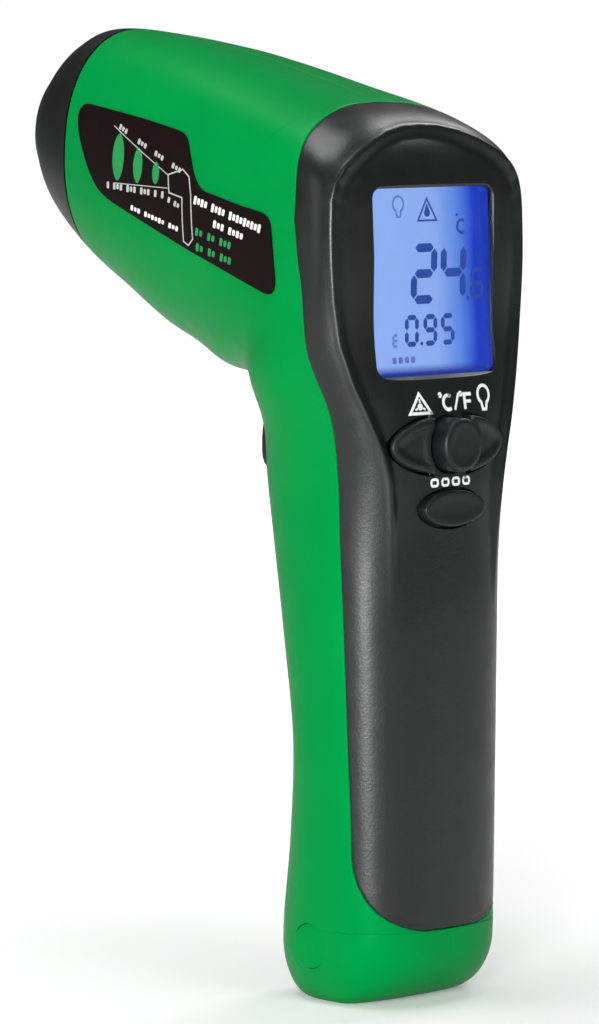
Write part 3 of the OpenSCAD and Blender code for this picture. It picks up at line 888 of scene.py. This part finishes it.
def crest_outline():
    left = np.array(CREST)
    right = left[::-1] * np.array([-1, 1])
    return dense(np.concatenate([left, right[:-1]]), 0.12)


CREST_POINTS = crest_outline()
CREST_TREE = edge_tree([np.column_stack([np.zeros(len(CREST_POINTS)), CREST_POINTS])])
CREST_Y = np.array([p[0] for p in CREST])
CREST_Z = np.array([p[1] for p in CREST])
BEAD = 1.5


def inside_crest(y, z):
    if z > CREST_Z[0]:
        return False
    return abs(y) < np.interp(z, CREST_Z[::-1], CREST_Y[::-1])


def smooth(v):
    v = min(max(v, 0.0), 1.0)
    return v * v * (3 - 2 * v)


def cover_relief(p):
    """The skin rises to a narrow crest round the sunk display face. Both fade out down the
    handle."""
    distance = CREST_TREE.find((0, p[1], p[2]))[2]
    fade = smooth((p[2] - 58) / 26)
    if inside_crest(p[1], p[2]):
        lift = 0.45 - 1.1 * smooth(distance / 1.3)
    else:
        lift = 0.45 * smooth((4.5 - distance) / 4.5)
    bead = 0.2 * math.exp(-(distance / 0.5) ** 2)
    return -(lift + bead) * fade


def cover_inset(p):
    return edge_inset(p) + cover_relief(p)


def crest_run(points, run):
    """How far along a row's left half its crest lies, or 9 mm where it runs along the row."""
    inside = np.array([inside_crest(p[1], p[2]) for p in points])
    if inside.all():
        return run[-1] * 0.7
    return max(run[int(inside.argmin())], 9.0)


def cover_angles(t):
    """Polar angles across the rear cover, closer together at its crest and its edges."""
    last = seam_polar(t)
    fine = np.linspace(0, last, 700)
    points = skin_points(t, fine)
    run = np.concatenate([[0], np.cumsum(np.linalg.norm(np.diff(points, axis=0), axis=1))])
    total = run[-1]
    near = EDGE_STEPS * min(1, total / 6)
    crest = min(crest_run(points, run), total - near[-1] - 0.2)
    low = max(crest - BEAD, crest * 0.4)
    high = min(crest + BEAD, (crest + total - near[-1]) / 2)
    marks = [np.linspace(0, low, 22)[:-1], np.linspace(low, high, 16)[:-1],
             np.linspace(high, total - near[-1], 8)[:-1], total - near[::-1]]
    half = np.interp(np.concatenate(marks), run, fine)
    return np.concatenate([-half[:0:-1], half])


def right_eye(grow):
    return flip_y(eye_outline(grow))


def centre_hole(grow):
    return circle_outline(0, BUTTON_Z, CENTRE_R + grow)


def flared(name, outline_of, lip):
    """A button's hole, a little wider at the face, which lies near lip."""
    steps = [(-20, 0.5), (lip, 0.5), (lip + 0.5, 0.42), (lip + 0.7, BUTTON_GAP),
             (-8, BUTTON_GAP)]
    return loft(name, [[(x, y, z) for y, z in outline_of(grow)] for x, grow in steps])


def make_rear_cover():
    obj = shell("rear_cover_shell", cover_rows(), cover_angles, cover_inset)
    posts = [lathe("post", [(0, -6.6), (1.9, -6.6), (1.9, -2.6), (0, -2.6)],
                   (0, side * POST_Y, DISPLAY[1]), (1, 0, 0), 32) for side in (1, -1)]
    fuse(obj, *posts)
    w, h = WINDOW
    wide = rounded_outline(w + 1.4, h + 1.4, 2.3)
    narrow = rounded_outline(w, h, 1.6)
    opening = [(-9, wide), (0.05, wide), (0.75, narrow), (6, narrow)]
    cutters = [display_prism("opening", opening)]
    cutters += [flared("eye", eye_outline, -11.15), flared("eye", right_eye, -11.15),
                flared("centre", centre_hole, -11.2), flared("oval", oval_outline, -11.5)]
    for side in (1, -1):
        cutters.append(lathe("pilot", [(0, -5.7), (0.92, -5.7), (0.92, 2.3), (0, 2.3)],
                             (0, side * POST_Y, DISPLAY[1]), (1, 0, 0), 24))
    cut(obj, *cutters)
    finish_piece(obj, "instrument", BLACK, ["rear_cover"])
    return obj


# ---------------------------------------------------------------- nose cap
def nose_inset(p):
    return rounding(NOSE_TREE.find((p[0], abs(p[1]), p[2]))[2], EDGE_R)


def make_nose_cap():
    rows = [14.02 + d for d in NEAR_EDGE] + [14.14 + 0.96 * i / 12 for i in range(13)]
    rows += [15.18 + 0.08 * i for i in range(8)] + [15.82, 15.88, 15.94, 16.0]
    angles = np.linspace(0, 2 * math.pi, 96, endpoint=False)
    outer, inner = [], []
    for t in rows:
        plain = skin_points(t, angles)
        inset = np.array([nose_inset(p) for p in plain])
        outer.append(skin_points(t, angles, inset))
        inner.append(skin_points(behind_front(t), angles, WALL))
    face = front_face(outer[-1])
    back = front_face(inner[-1])
    loops = list(reversed(back)) + list(reversed(inner)) + outer + face
    obj = loft("nose_cap_shell", loops)
    cutters = [bore("aperture", APERTURE_DROP, [(6.2, -6), (6.2, -0.2), (7.0, 0.6), (7.0, 9)]),
               bore("laser", -LASER_RISE, [(1.6, -6), (1.6, -0.1), (2.1, 0.4), (2.1, 9)])]
    cut(obj, *cutters)
    finish_piece(obj, "instrument", BLACK, ["nose_cap"])


def front_face(ring):
    """Smaller and smaller copies of a ring that close the nose with a flat face."""
    middle = ring.mean(axis=0)
    middle[1] = 0
    return [middle + (ring - middle) * share for share in (0.9, 0.72, 0.5, 0.3)]


def bore(name, down, profile):
    whole = [(0, profile[0][1])] + profile + [(0, profile[-1][1])]
    return lathe(name, whole, on_axis(down), AXIS, 80)


# ---------------------------------------------------------------- buttons
def arc_top(y):
    """x of the side buttons' curved top."""
    return COVER_X - 0.6 + 53.6 - np.sqrt(53.6 ** 2 - y ** 2)


def side_top(points, distances):
    """A rounded edge, a flat rim and a shallow dish."""
    edge = np.array([rounding(d, 0.45) for d in distances])
    dish = np.array([smooth((d - 0.9) / 0.9) for d in distances]) * 0.42
    return arc_top(points[:, 0]) + edge + dish


def side_back(points):
    return np.full(len(points), -10.6)


def plunger(y, z, start):
    """The post that pushes a button's switch, from start to the switch."""
    profile = [(0, start), (1.5, start), (1.5, -7.8), (1.35, -7.65), (0, -7.65)]
    return lathe("plunger", profile, (0, y, z), (1, 0, 0), 32)


def side_button(name):
    """A side button's cap, keeper and plunger, drawn on the left."""
    obj = cushion(name, eye_outline(), side_top, side_back, 0.55,
                  (0.08, 0.18, 0.32, 0.5, 0.75, 0.95, 1.2, 1.5, 1.85))
    fuse(obj, block("web", (-10.7, 5.6, BUTTON_Z - 2.4), (-9.2, 8.8, BUTTON_Z + 2.4), 0.4))
    fuse(obj, block("keeper", (-9.3, 5.2, BUTTON_Z - 5), (-8.7, 9.0, BUTTON_Z + 5), 0.6))
    fuse(obj, plunger(7.3, BUTTON_Z, -9))
    return obj


def make_side_buttons():
    left = side_button("laser_button_cap")
    right = mirrored(left, "backlight_button_cap")
    finish_piece(left, "laser_button", BUTTON, ["laser_button"])
    finish_piece(right, "backlight_button", BUTTON, ["backlight_button"])


def make_centre_button():
    """The tall round button: a rounded rim round a slightly dished top."""
    r = CENTRE_R
    profile = [(0, -2.36), (1.6, -2.38), (2.9, -2.42), (3.3, -2.5), (3.55, -2.5), (3.8, -2.44),
               (4.0, -2.3), (4.14, -2.08), (r, -1.8), (r, 2.6), (4.8, 2.6), (4.8, 3.3), (1.5, 3.3),
               (1.5, 4.3), (1.35, 4.45), (0, 4.45)]
    obj = lathe("unit_button_cap", profile, (COVER_X, 0, BUTTON_Z), (1, 0, 0), 96)
    finish_piece(obj, "unit_button", BUTTON, ["unit_button"], sharp=40)


def mode_top(points, distances):
    edge = np.array([rounding(d, 0.35) for d in distances])
    dish = np.array([smooth((d - 0.5) / 1.6) for d in distances]) * 0.1
    return COVER_X - 0.7 + edge + dish


def make_mode_button():
    obj = cushion("mode_button_cap", oval_outline(), mode_top,
                  lambda points: np.full(len(points), -10.3), 0.5,
                  (0.08, 0.18, 0.32, 0.5, 0.8, 1.1, 1.5))
    fuse(obj, block("keeper", (-10.4, -5.5, MODE_Z - 3.4), (-9.6, 5.5, MODE_Z + 3.4), 0.8))
    fuse(obj, plunger(0, MODE_Z, -9.9))
    finish_piece(obj, "mode_button", BUTTON, ["mode_button"])


# ---------------------------------------------------------------- trigger
def make_trigger():
    """The trigger's finger face is rounded at its sides."""
    front = [(20.2, 81), (21.9, 81.25), (23.2, 81.9), (24.0, 82.7), (24.4, 83.6), (24.5, 84.5),
             (24.52, 85.5), (24.5, 86.8), (24.4, 88), (24.15, 89.6), (23.8, 91), (23.2, 92.4),
             (22.4, 93.6)]
    outline = [(15.5, 81)] + front + [(15.5, 93.6)]
    loops = []
    for side in (-1, 1):
        steps = [(0, 1.1), (0.12, 0.66), (0.36, 0.32), (0.7, 0.1), (1.1, 0)]
        for out, pull in (steps if side < 0 else reversed(steps)):
            y = side * (TRIGGER_HALF - out)
            loops.append([(x - pull if x > 15.6 else x, y,
                           z + pull * 0.35 * (1 if z < 85 else -1 if z > 89 else 0))
                          for x, z in outline])
    obj = loft("trigger_blade", loops)
    fuse(obj, block("flange", (14.5, -7.5, 80), (16.1, 7.5, 94.6), 0.8))
    fuse(obj, block("nub", (13.5, -2, 81.5), (14.7, 2, 84.5), 0.5))
    finish_piece(obj, "trigger", BUTTON, ["trigger"], sharp=35)


def make_spring():
    """A compression spring between the bracket and the trigger."""
    wire, r = 0.3, 2.2
    x0, x1 = 5.4 + wire, 14.5 - wire
    steps, sides, turns = 160, 10, 5
    loops = []
    for i in range(steps + 1):
        a = 2 * math.pi * turns * i / steps
        centre = np.array([x0 + (x1 - x0) * i / steps, r * math.cos(a), 90 + r * math.sin(a)])
        out = np.array([0, math.cos(a), math.sin(a)])
        loops.append([centre + wire * (out * math.cos(b) + np.array([1, 0, 0]) * math.sin(b))
                      for b in np.linspace(0, 2 * math.pi, sides, endpoint=False)])
    obj = loft("trigger_spring_coil", loops)
    finish_piece(obj, "instrument", STEEL, ["trigger_spring"], sharp=60)
    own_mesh(obj)


# ---------------------------------------------------------------- display
def plate(name, outlines, x0, x1):
    """Thin plates in the display's frame, one for each outline of (y, z)."""
    points, faces = [], []
    for outline in outlines:
        start, n = len(points), len(outline)
        for x in (x0, x1):
            points += [on_display(x, y, z) for y, z in outline]
        faces.append(tuple(range(start, start + n)))
        faces.append(tuple(range(start + n, start + 2 * n)))
        for j in range(n):
            k = (j + 1) % n
            faces.append((start + j, start + k, start + n + k, start + n + j))
    return solid(name, points, faces)


def ribbon(points, width, closed=False):
    """Quads of (y, z) corners along a line of the given width, with mitred corners."""
    p = np.array(points, float)
    n = len(p)
    left, right = [], []
    for i in range(n):
        before = p[i] - p[i - 1] if i > 0 or closed else p[1] - p[0]
        after = p[(i + 1) % n] - p[i] if i < n - 1 or closed else p[-1] - p[-2]
        before = before / np.linalg.norm(before)
        after = after / np.linalg.norm(after)
        normal = np.array([-(before + after)[1], (before + after)[0]])
        normal = normal / np.linalg.norm(normal)
        reach = width / 2 / max(0.45, normal @ np.array([-after[1], after[0]]))
        left.append(p[i] + normal * reach)
        right.append(p[i] - normal * reach)
    count = n if closed else n - 1
    return [(left[i], left[(i + 1) % n], right[(i + 1) % n], right[i]) for i in range(count)]


SEGMENTS = {"0": "abcdef", "2": "abdeg", "4": "bcfg", "5": "acdfg", "6": "acdefg", "9": "abcdfg",
            "E": "adefg"}


def digit(mark, y, z, w, h, bar, slant=0.08):
    """Seven-segment outlines. (y, z) is the upper left corner as seen from the rear."""
    gap = bar * 0.14
    bars = {"a": ((0, 0), (w, 0)), "b": ((w, 0), (w, h / 2)), "c": ((w, h / 2), (w, h)),
            "d": ((0, h), (w, h)), "e": ((0, h / 2), (0, h)), "f": ((0, 0), (0, h / 2)),
            "g": ((0, h / 2), (w, h / 2))}
    outlines = []
    for key in SEGMENTS[mark]:
        a, b = (np.array(q, float) for q in bars[key])
        t = (b - a) / np.linalg.norm(b - a)
        s = np.array([-t[1], t[0]]) * bar / 2
        a, b = a + t * gap, b - t * gap
        corner = t * bar / 2
        shape = [a, a + corner + s, b - corner + s, b, b - corner - s, a + corner - s]
        outlines.append([(y - q[0] - slant * (h / 2 - q[1]), z - q[1]) for q in shape])
    return outlines


def bulb_lines(y, z, size):
    """A small lamp drawn in outline: its glass above its base."""
    glass = [(y + size * 0.5 * math.sin(a), z + size * 0.2 - size * 0.5 * math.cos(a))
             for a in np.linspace(0.5, 2 * math.pi - 0.5, 16)]
    return glass + [(y - size * 0.15, z - size * 0.62), (y + size * 0.15, z - size * 0.62)]


def triangle_lines(y, z, half_w, half_h):
    return [(y, z + half_h), (y - half_w, z - half_h), (y + half_w, z - half_h)]


def make_segments():
    """The display's dark marks: a reading, a smaller value and a few plain icons."""
    marks = digit("2", 3.2, 5.2, 4.5, 8.0, 1.35) + digit("4", -3.5, 5.2, 4.5, 8.0, 1.35)
    marks += digit("6", -10.0, 1.5, 2.3, 4.3, 0.75)
    marks += ribbon(arc_line(-8.0, 8.3, 1.0, -125, 125), 0.45)
    marks += [circle_outline(-7.0, 10.1, 0.25, 12), circle_outline(-8.9, -2.9, 0.35, 12)]
    for mark, y in (("0", 5.3), ("9", 1.1), ("5", -2.9)):
        marks += digit(mark, y, -5.5, 2.3, 4.1, 0.8, 0.05)
    marks += [circle_outline(2.0, -9.6, 0.3, 12)]
    marks += ribbon(triangle_lines(-0.2, 11.1, 2.1, 1.7), 0.3, True)
    marks += [circle_outline(-0.2, 10.6, 0.65, 20), [(-0.2, 12.0), (-0.75, 10.9), (0.35, 10.9)]]
    obj = plate("display_segments", marks, 2.42, 2.48)
    finish_piece(obj, "instrument", SEGMENT_INK, sharp=20)
    faint = ribbon(bulb_lines(6.3, 11.6, 2.4), 0.3, True)
    faint += digit("E", 8.4, -8.1, 1.0, 1.7, 0.4)
    faint += [bar_outline(y, -12.0, 0.9, 1.0, 0.2) for y in (8.3, 6.9, 5.5, 4.1)]
    obj = plate("display_faint_marks", faint, 2.42, 2.48)
    finish_piece(obj, "instrument", FAINT_INK, sharp=20)


def bar_outline(y, z, w, h, r):
    return [(y + a, z + b) for a, b in rounded_outline(w, h, r, 4)]


# ---------------------------------------------------------------- print on the rear cover
def surface_tree(obj):
    mesh = obj.data
    mesh.calc_loop_triangles()
    return BVHTree.FromPolygons([tuple(v.co / MM) for v in mesh.vertices],
                                [tuple(t.vertices) for t in mesh.loop_triangles])


def surface_hit(tree, place, q, start, direction):
    """Where a ray meets the surface. A ray that slips through an edge is moved a little."""
    for shift in (0, 0.007, -0.007, 0.02):
        found = tree.ray_cast(Vector(place((q[0] + shift, q[1] + shift * 0.6), start)), direction)
        if found[0]:
            return found[0], found[1]
    return None


def print_solid(name, outlines, tree, start, direction, place, proud=0.04, spacing=0.7):
    """Thin print that lies on a surface. place turns an outline's point into a ray's start."""
    points, faces = [], []
    d = Vector(direction)
    for outline in outlines:
        flat, triangles, _ = cap_surface(dense(np.array(outline, float), 0.5), spacing, ())
        n, first = len(flat), len(points)
        hits = [surface_hit(tree, place, q, start, d) for q in flat]
        if any(h is None for h in hits):
            continue
        points += [h[0] + h[1] * proud for h in hits] + [h[0] - h[1] * 0.02 for h in hits]
        faces += two_sided(triangles, first, n)
    return solid(name, points, faces)


def rear_place(q, start):
    return (start, q[0], q[1])


def side_place(q, start):
    return (q[0], start, q[1])


def arc_line(y, z, r, first, last, steps=14):
    return [(y + r * math.cos(math.radians(a)), z + r * math.sin(math.radians(a)))
            for a in np.linspace(first, last, steps)]


def legend_outlines():
    """The button legends: a laser triangle, the two units, a lamp, and four plain marks."""
    marks = ribbon(triangle_lines(5.7, 93.8, 2.3, 1.5), 0.48, True)
    marks += [circle_outline(5.7, 93.3, 0.55, 20)]
    marks += ribbon([(5.7, 93.9), (5.7, 94.5)], 0.34)
    marks += ribbon([(5.1, 93.1), (4.6, 92.85)], 0.3) + ribbon([(6.3, 93.1), (6.8, 92.85)], 0.3)
    marks += ribbon(arc_line(1.0, 94.9, 0.28, 0, 330), 0.34)
    marks += ribbon(arc_line(-0.7, 93.7, 1.1, -125, 125), 0.55)
    marks += ribbon([(-3.2, 95.0), (-2.1, 92.5)], 0.4)
    marks += ribbon(arc_line(-3.7, 94.9, 0.28, 0, 330), 0.34)
    marks += ribbon([(-4.5, 92.5), (-4.5, 94.8), (-6.1, 94.8)], 0.55)
    marks += ribbon([(-4.7, 93.7), (-5.9, 93.7)], 0.5)
    marks += ribbon(bulb_lines(-9.1, 94.0, 2.8), 0.5, True)
    for y in (3.6, 1.2, -1.2, -3.6):
        marks += ribbon(bar_outline(y, 81.5, 1.4, 1.0, 0.35), 0.4, True)
    return marks


def make_legends(cover):
    obj = print_solid("button_legends", legend_outlines(), surface_tree(cover), -30, (1, 0, 0),
                      rear_place)
    finish_piece(obj, "instrument", WHITE_INK, sharp=50)


# ---------------------------------------------------------------- side labels
LABEL = [(55.4, 138.4), (54, 139.4), (44.5, 138.1), (36.6, 136.9), (28, 135.2), (26.6, 134),
         (24.6, 128.4), (22.8, 126.3), (13.2, 124.2), (7, 123.1), (5.6, 121.8), (4.2, 112),
         (5.4, 110.4), (25.9, 116.8), (46.4, 124.1), (49.6, 125.8), (52.2, 129), (54.6, 133.4),
         (55.7, 136.8)]


def rounded_corners(outline, reach, steps=5):
    """The outline with each corner replaced by a short curve that starts reach mm before it."""
    p = np.array(outline, float)
    points = []
    for i in range(len(p)):
        before, after = p[i - 1] - p[i], p[(i + 1) % len(p)] - p[i]
        a = p[i] + before * min(0.45, reach / np.linalg.norm(before))
        b = p[i] + after * min(0.45, reach / np.linalg.norm(after))
        for u in np.linspace(0, 1, steps):
            points.append(tuple((1 - u) ** 2 * a + 2 * u * (1 - u) * p[i] + u * u * b))
    return points


def lens_outline(x, z, half_w, half_h, lean, steps=20):
    """A pointed oval that leans by lean radians."""
    points = []
    for i in range(2 * steps):
        a = math.pi * i / steps
        p = (half_w * math.sin(a) * abs(math.sin(a)) ** 0.2, half_h * math.cos(a))
        points.append((x + p[0] * math.cos(lean) - p[1] * math.sin(lean),
                       z + p[0] * math.sin(lean) + p[1] * math.cos(lean)))
    return points


SPOTS = [(43.7, 131.0, 1.5, 3.7), (38.5, 129.8, 1.15, 2.8), (33.9, 128.7, 0.85, 1.75)]


def word_blocks(start, end, height, words):
    """Small blocks along a line, which stand for lettering. words gives each word's length."""
    a, b = np.array(start, float), np.array(end, float)
    unit = (b - a) / (sum(words) + len(words) - 1)
    width = np.linalg.norm(unit) * 0.68
    t = unit / np.linalg.norm(unit)
    n = np.array([-t[1], t[0]])
    marks = []
    place = 0.5
    for count in words:
        for i in range(count):
            middle = a + unit * (place + i)
            tall = height * (1.0, 0.74, 0.9, 0.74)[i % 4]
            outline = rounded_outline(width, tall, width * 0.3, 3)
            marks.append([tuple(middle + t * p + n * q) for p, q in outline])
        place += count + 1
    return marks


def green_marks():
    marks = [lens_outline(x, z, w, h, 0.05) for x, z, w, h in SPOTS]
    marks += word_blocks((24.0, 119.9), (14.8, 117.8), 1.25, (2, 2, 3))
    marks += word_blocks((24.0, 117.5), (14.8, 115.4), 1.25, (2, 2, 3))
    return marks


def cone_lines():
    top = ribbon([(45.3, 135.9), (30.9, 128.5)], 0.14)
    return top + ribbon([(44.3, 126.9), (30.9, 126.4)], 0.14)


def grey_marks():
    """Small values beside the spots, and thin lines from the instrument to them."""
    marks = cone_lines()
    for x, z in ((42.8, 135.4), (37.6, 133.2), (33.2, 131.4), (28.8, 129.6)):
        marks += word_blocks((x + 1.2, z + 0.5), (x - 1.2, z - 0.5), 0.9, (3,))
    marks += word_blocks((46.9, 126.6), (31.7, 125.3), 1.1, (1, 3, 3, 3, 1, 1))
    marks += word_blocks((30.9, 124.7), (27.8, 123.6), 0.9, (1, 2))
    return marks


def white_marks():
    """Plain blocks where the label carries lines of words."""
    marks = word_blocks((24.3, 124.8), (7.6, 120.6), 1.35, (4, 4, 9))
    marks += word_blocks((19.4, 121.2), (11.8, 119.3), 1.2, (3, 4))
    marks += word_blocks((40.6, 123.2), (28.2, 120.0), 0.85, (3, 6, 3))
    return marks


def instrument_outline():
    """A plain drawing of a pistol-shaped instrument."""
    return [(30.8, 128.5), (27.2, 129.4), (25.6, 128.3), (25.0, 125.4), (24.6, 118.6),
            (25.8, 117.6), (27.0, 118.2), (27.2, 125.0), (30.5, 125.7)]


def make_label(name, side, tree):
    """One side's label with its print, thin on the skin."""
    aim = (tree, 60 * side, (0, -side, 0), side_place)
    film = print_solid(f"{name}_film", [rounded_corners(LABEL, 1.6)], *aim, 0.3, 1.1)
    finish_piece(film, "instrument", FILM, [name], sharp=50)
    drawing = ribbon(instrument_outline(), 0.22, True)
    parts = [("green_print", green_marks(), GREEN_INK), ("grey_print", grey_marks(), GREY_INK),
             ("white_print", white_marks(), WHITE_INK), ("drawing", drawing, GREY_INK)]
    for part, outlines, ink in parts:
        obj = print_solid(f"{name}_{part}", outlines, *aim, 0.34, 0.8)
        finish_piece(obj, "instrument", ink, sharp=50)


def make_labels():
    for side, name in ((1, "left"), (-1, "right")):
        tree = surface_tree(bpy.data.objects[f"{name}_housing_shell"])
        make_label(f"{name}_label", side, tree)


# ---------------------------------------------------------------- lens, screws, battery
def make_lens():
    """A thin infrared lens with fine concentric steps."""
    profile = [(0, -4.6), (6.1, -4.6), (6.28, -4.5), (6.28, -4.0), (6.1, -3.9)]
    r = 5.6
    while r > 0.5:
        profile += [(r, -3.9), (r - 0.08, -4.06)]
        r -= 0.5
    profile += [(0, -3.86)]
    obj = lathe("ir_lens_disc", profile, on_axis(APERTURE_DROP), AXIS, 72)
    finish_piece(obj, "instrument", LENS, ["ir_lens"], sharp=25)


def make_lens_ring():
    profile = [(5.6, -3.85), (6.27, -3.85), (6.27, -3.15), (7.2, -3.15), (7.2, -2.2), (7.0, -2.0),
               (6.2, -2.0), (5.9, -2.2), (5.6, -2.7)]
    obj = lathe("lens_ring_part", profile, on_axis(APERTURE_DROP), AXIS, 72)
    finish_piece(obj, "instrument", INNER, ["lens_ring"])


def make_screws():
    """Cross-head screws, whose heads show at the bottom of the right half's pockets."""
    for i, (x, z, _) in enumerate(SCREWS):
        profile = [(0, -7.6), (1.1, -7.55), (1.9, -7.3), (2.25, -6.9), (2.3, -6.0), (1.1, -6.0)]
        y = -6.0
        while y < 5.2:
            profile += [(1.1, y + 0.15), (0.88, y + 0.45), (1.1, y + 0.75)]
            y += 0.8
        profile += [(0.3, 6.0), (0, 6.0)]
        obj = lathe_y(f"housing_screw_{i + 1}", (x, z), profile, 40)
        cut(obj, block("slot", (x - 1.3, -8, z - 0.25), (x + 1.3, -6.9, z + 0.25)))
        cut(obj, block("slot", (x - 0.25, -8, z - 1.3), (x + 0.25, -6.9, z + 1.3)))
        finish_piece(obj, "instrument", STEEL, ["housing_screws"] if i == 0 else ())


def battery_loops(heights):
    """Loops up the battery, pulled in by the second value at each height."""
    loops = []
    for z, pull in heights:
        outline = rounded_outline(16.5 - 2 * pull, 25.6 - 2 * pull, 2.5 - min(pull, 1), 8)
        loops.append([(0.25 + a, b, z) for a, b in outline])
    return loops


def make_battery():
    """A nine volt block: jacket, coloured upper band, metal top and two snap terminals."""
    jacket = loft("battery_jacket_body", battery_loops(
        [(22, 0.7), (22.2, 0.25), (22.6, 0), (57, 0), (57.05, 0.06), (57.3, 0.06), (57.35, 0)]))
    finish_piece(jacket, "instrument", JACKET, ["battery"])
    band = loft("battery_band", battery_loops(
        [(57.36, 0.02), (67.6, 0.02), (68.0, 0.2), (68.2, 0.6), (68.2, 1.4), (67.9, 1.6)]))
    finish_piece(band, "instrument", BAND)
    posts = [lathe("battery_terminal_small", [(0, 67.95), (2.8, 67.95), (2.8, 70.2), (2.6, 70.45),
                                              (2.2, 70.5), (0, 70.5)], (0.25, 6.35, 0), (0, 0, 1)),
             lathe("battery_terminal_large", [(0, 67.95), (3.9, 67.95), (3.6, 69.2), (3.9, 70.3),
                                              (3.7, 70.5), (3.1, 70.5), (2.9, 70.2), (2.9, 68.9),
                                              (0, 68.9)], (0.25, -6.35, 0), (0, 0, 1))]
    for post in posts:
        finish_piece(post, "instrument", STEEL)


# ---------------------------------------------------------------- CAD nodes that stay
KEPT = {"trigger_bracket": INNER, "trigger_switch": CHIP, "button_switches": CHIP,
        "lcd_window": WINDOW_PLASTIC, "lcd_frame": INNER, "lcd_panel": LCD,
        "backlight_panel": BACKLIGHT, "main_pcb": BOARD, "pcb_chips": CHIP, "pcb_screws": STEEL,
        "buzzer": BUZZER, "sensor_barrel": INNER, "thermopile_sensor": STEEL,
        "sensor_pcb": BOARD, "laser_module": BRASS, "laser_window": RED_WINDOW,
        "battery_snap": INNER, "battery_leads": WIRE}


def dress_cad_nodes():
    for name, made in KEPT.items():
        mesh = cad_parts[name].data
        mesh.materials.clear()
        mesh.materials.append(made)


# ---------------------------------------------------------------- stage and light
FLOOR_LIGHT = 0.1
WORLD_LIGHT = 0.08


def floor_material():
    """A pale studio floor that glows more away from the object, so that it stays white. Its glow
    lights the object only dimly."""
    made, tree, shader = material("floor", Roughness=0.95, Specular_IOR_Level=0.0,
                                  Emission_Color=(1, 1, 1, 1))
    place = node(tree, "ShaderNodeTexCoord", name="place")
    reach = node(tree, "ShaderNodeVectorMath", operation="LENGTH")
    tree.links.new(place.outputs["Object"], reach.inputs[0])
    glow = remap(tree, reach.outputs["Value"], 0.08, 0.9, 0.22, 0.95)
    seen = node(tree, "ShaderNodeLightPath")
    dim = remap(tree, seen.outputs["Is Camera Ray"], 0, 1, FLOOR_LIGHT, 1)
    strength = node(tree, "ShaderNodeMath", operation="MULTIPLY")
    tree.links.new(glow.outputs["Result"], strength.inputs[0])
    tree.links.new(dim.outputs["Result"], strength.inputs[1])
    tree.links.new(strength.outputs["Value"], shader.inputs["Emission Strength"])
    tint(tree, shader.inputs["Base Color"], 8, 3, (0.90, 0.90, 0.90), (0.93, 0.93, 0.93))
    return made


def make_floor():
    half = 4000
    corners = [(-half, -half, 0), (half, -half, 0), (half, half, 0), (-half, half, 0)]
    floor = solid("floor", corners, [(0, 1, 2, 3)])
    floor.data.materials.append(floor_material())


def soft_light(name, at, size, power, to=(0.02, 0, 0.08)):
    data = bpy.data.lights.new(name, "AREA")
    data.shape = "RECTANGLE"
    data.size, data.size_y = size
    data.energy = power
    obj = bpy.data.objects.new(name, data)
    bpy.context.scene.collection.objects.link(obj)
    obj.location = at
    obj.rotation_euler = (Vector(to) - Vector(at)).to_track_quat("-Z", "Y").to_euler()


def studio_world():
    """A white backdrop that lights the object only dimly, so that the soft boxes shape it."""
    world = bpy.data.worlds.new("studio")
    world.use_nodes = True
    tree = world.node_tree
    dim = tree.nodes["Background"]
    dim.inputs["Strength"].default_value = WORLD_LIGHT
    bright = node(tree, "ShaderNodeBackground", Strength=1.0)
    seen = node(tree, "ShaderNodeLightPath")
    both = node(tree, "ShaderNodeMixShader")
    tree.links.new(seen.outputs["Is Camera Ray"], both.inputs[0])
    tree.links.new(dim.outputs["Background"], both.inputs[1])
    tree.links.new(bright.outputs["Background"], both.inputs[2])
    tree.links.new(both.outputs["Shader"], tree.nodes["World Output"].inputs["Surface"])
    for background in (dim, bright):
        background.inputs["Color"].default_value = (1, 1, 1, 1)
    bpy.context.scene.world = world


def make_lights():
    studio_world()
    soft_light("top", (0.2, 0.1, 0.95), (0.6, 0.6), 4.6)
    soft_light("left", (0.45, 0.95, 0.35), (0.3, 0.6), 0.9)
    soft_light("strip", (-0.67, 0.956, 0.22), (0.26, 0.44), 13.0)
    soft_light("back", (0.15, -0.75, 0.75), (0.35, 0.35), 2.5)
    soft_light("rear", (-0.9, 0.1, 0.75), (0.3, 0.3), 1.4)
    bpy.context.scene.view_settings.view_transform = "Standard"


make_housing()
make_battery_door()
make_hinge_pins()
rear_cover = make_rear_cover()
make_nose_cap()
make_side_buttons()
make_centre_button()
make_mode_button()
make_trigger()
make_spring()
make_segments()
make_legends(rear_cover)
make_labels()
make_lens()
make_lens_ring()
make_screws()
make_battery()
dress_cad_nodes()
make_floor()
make_lights()
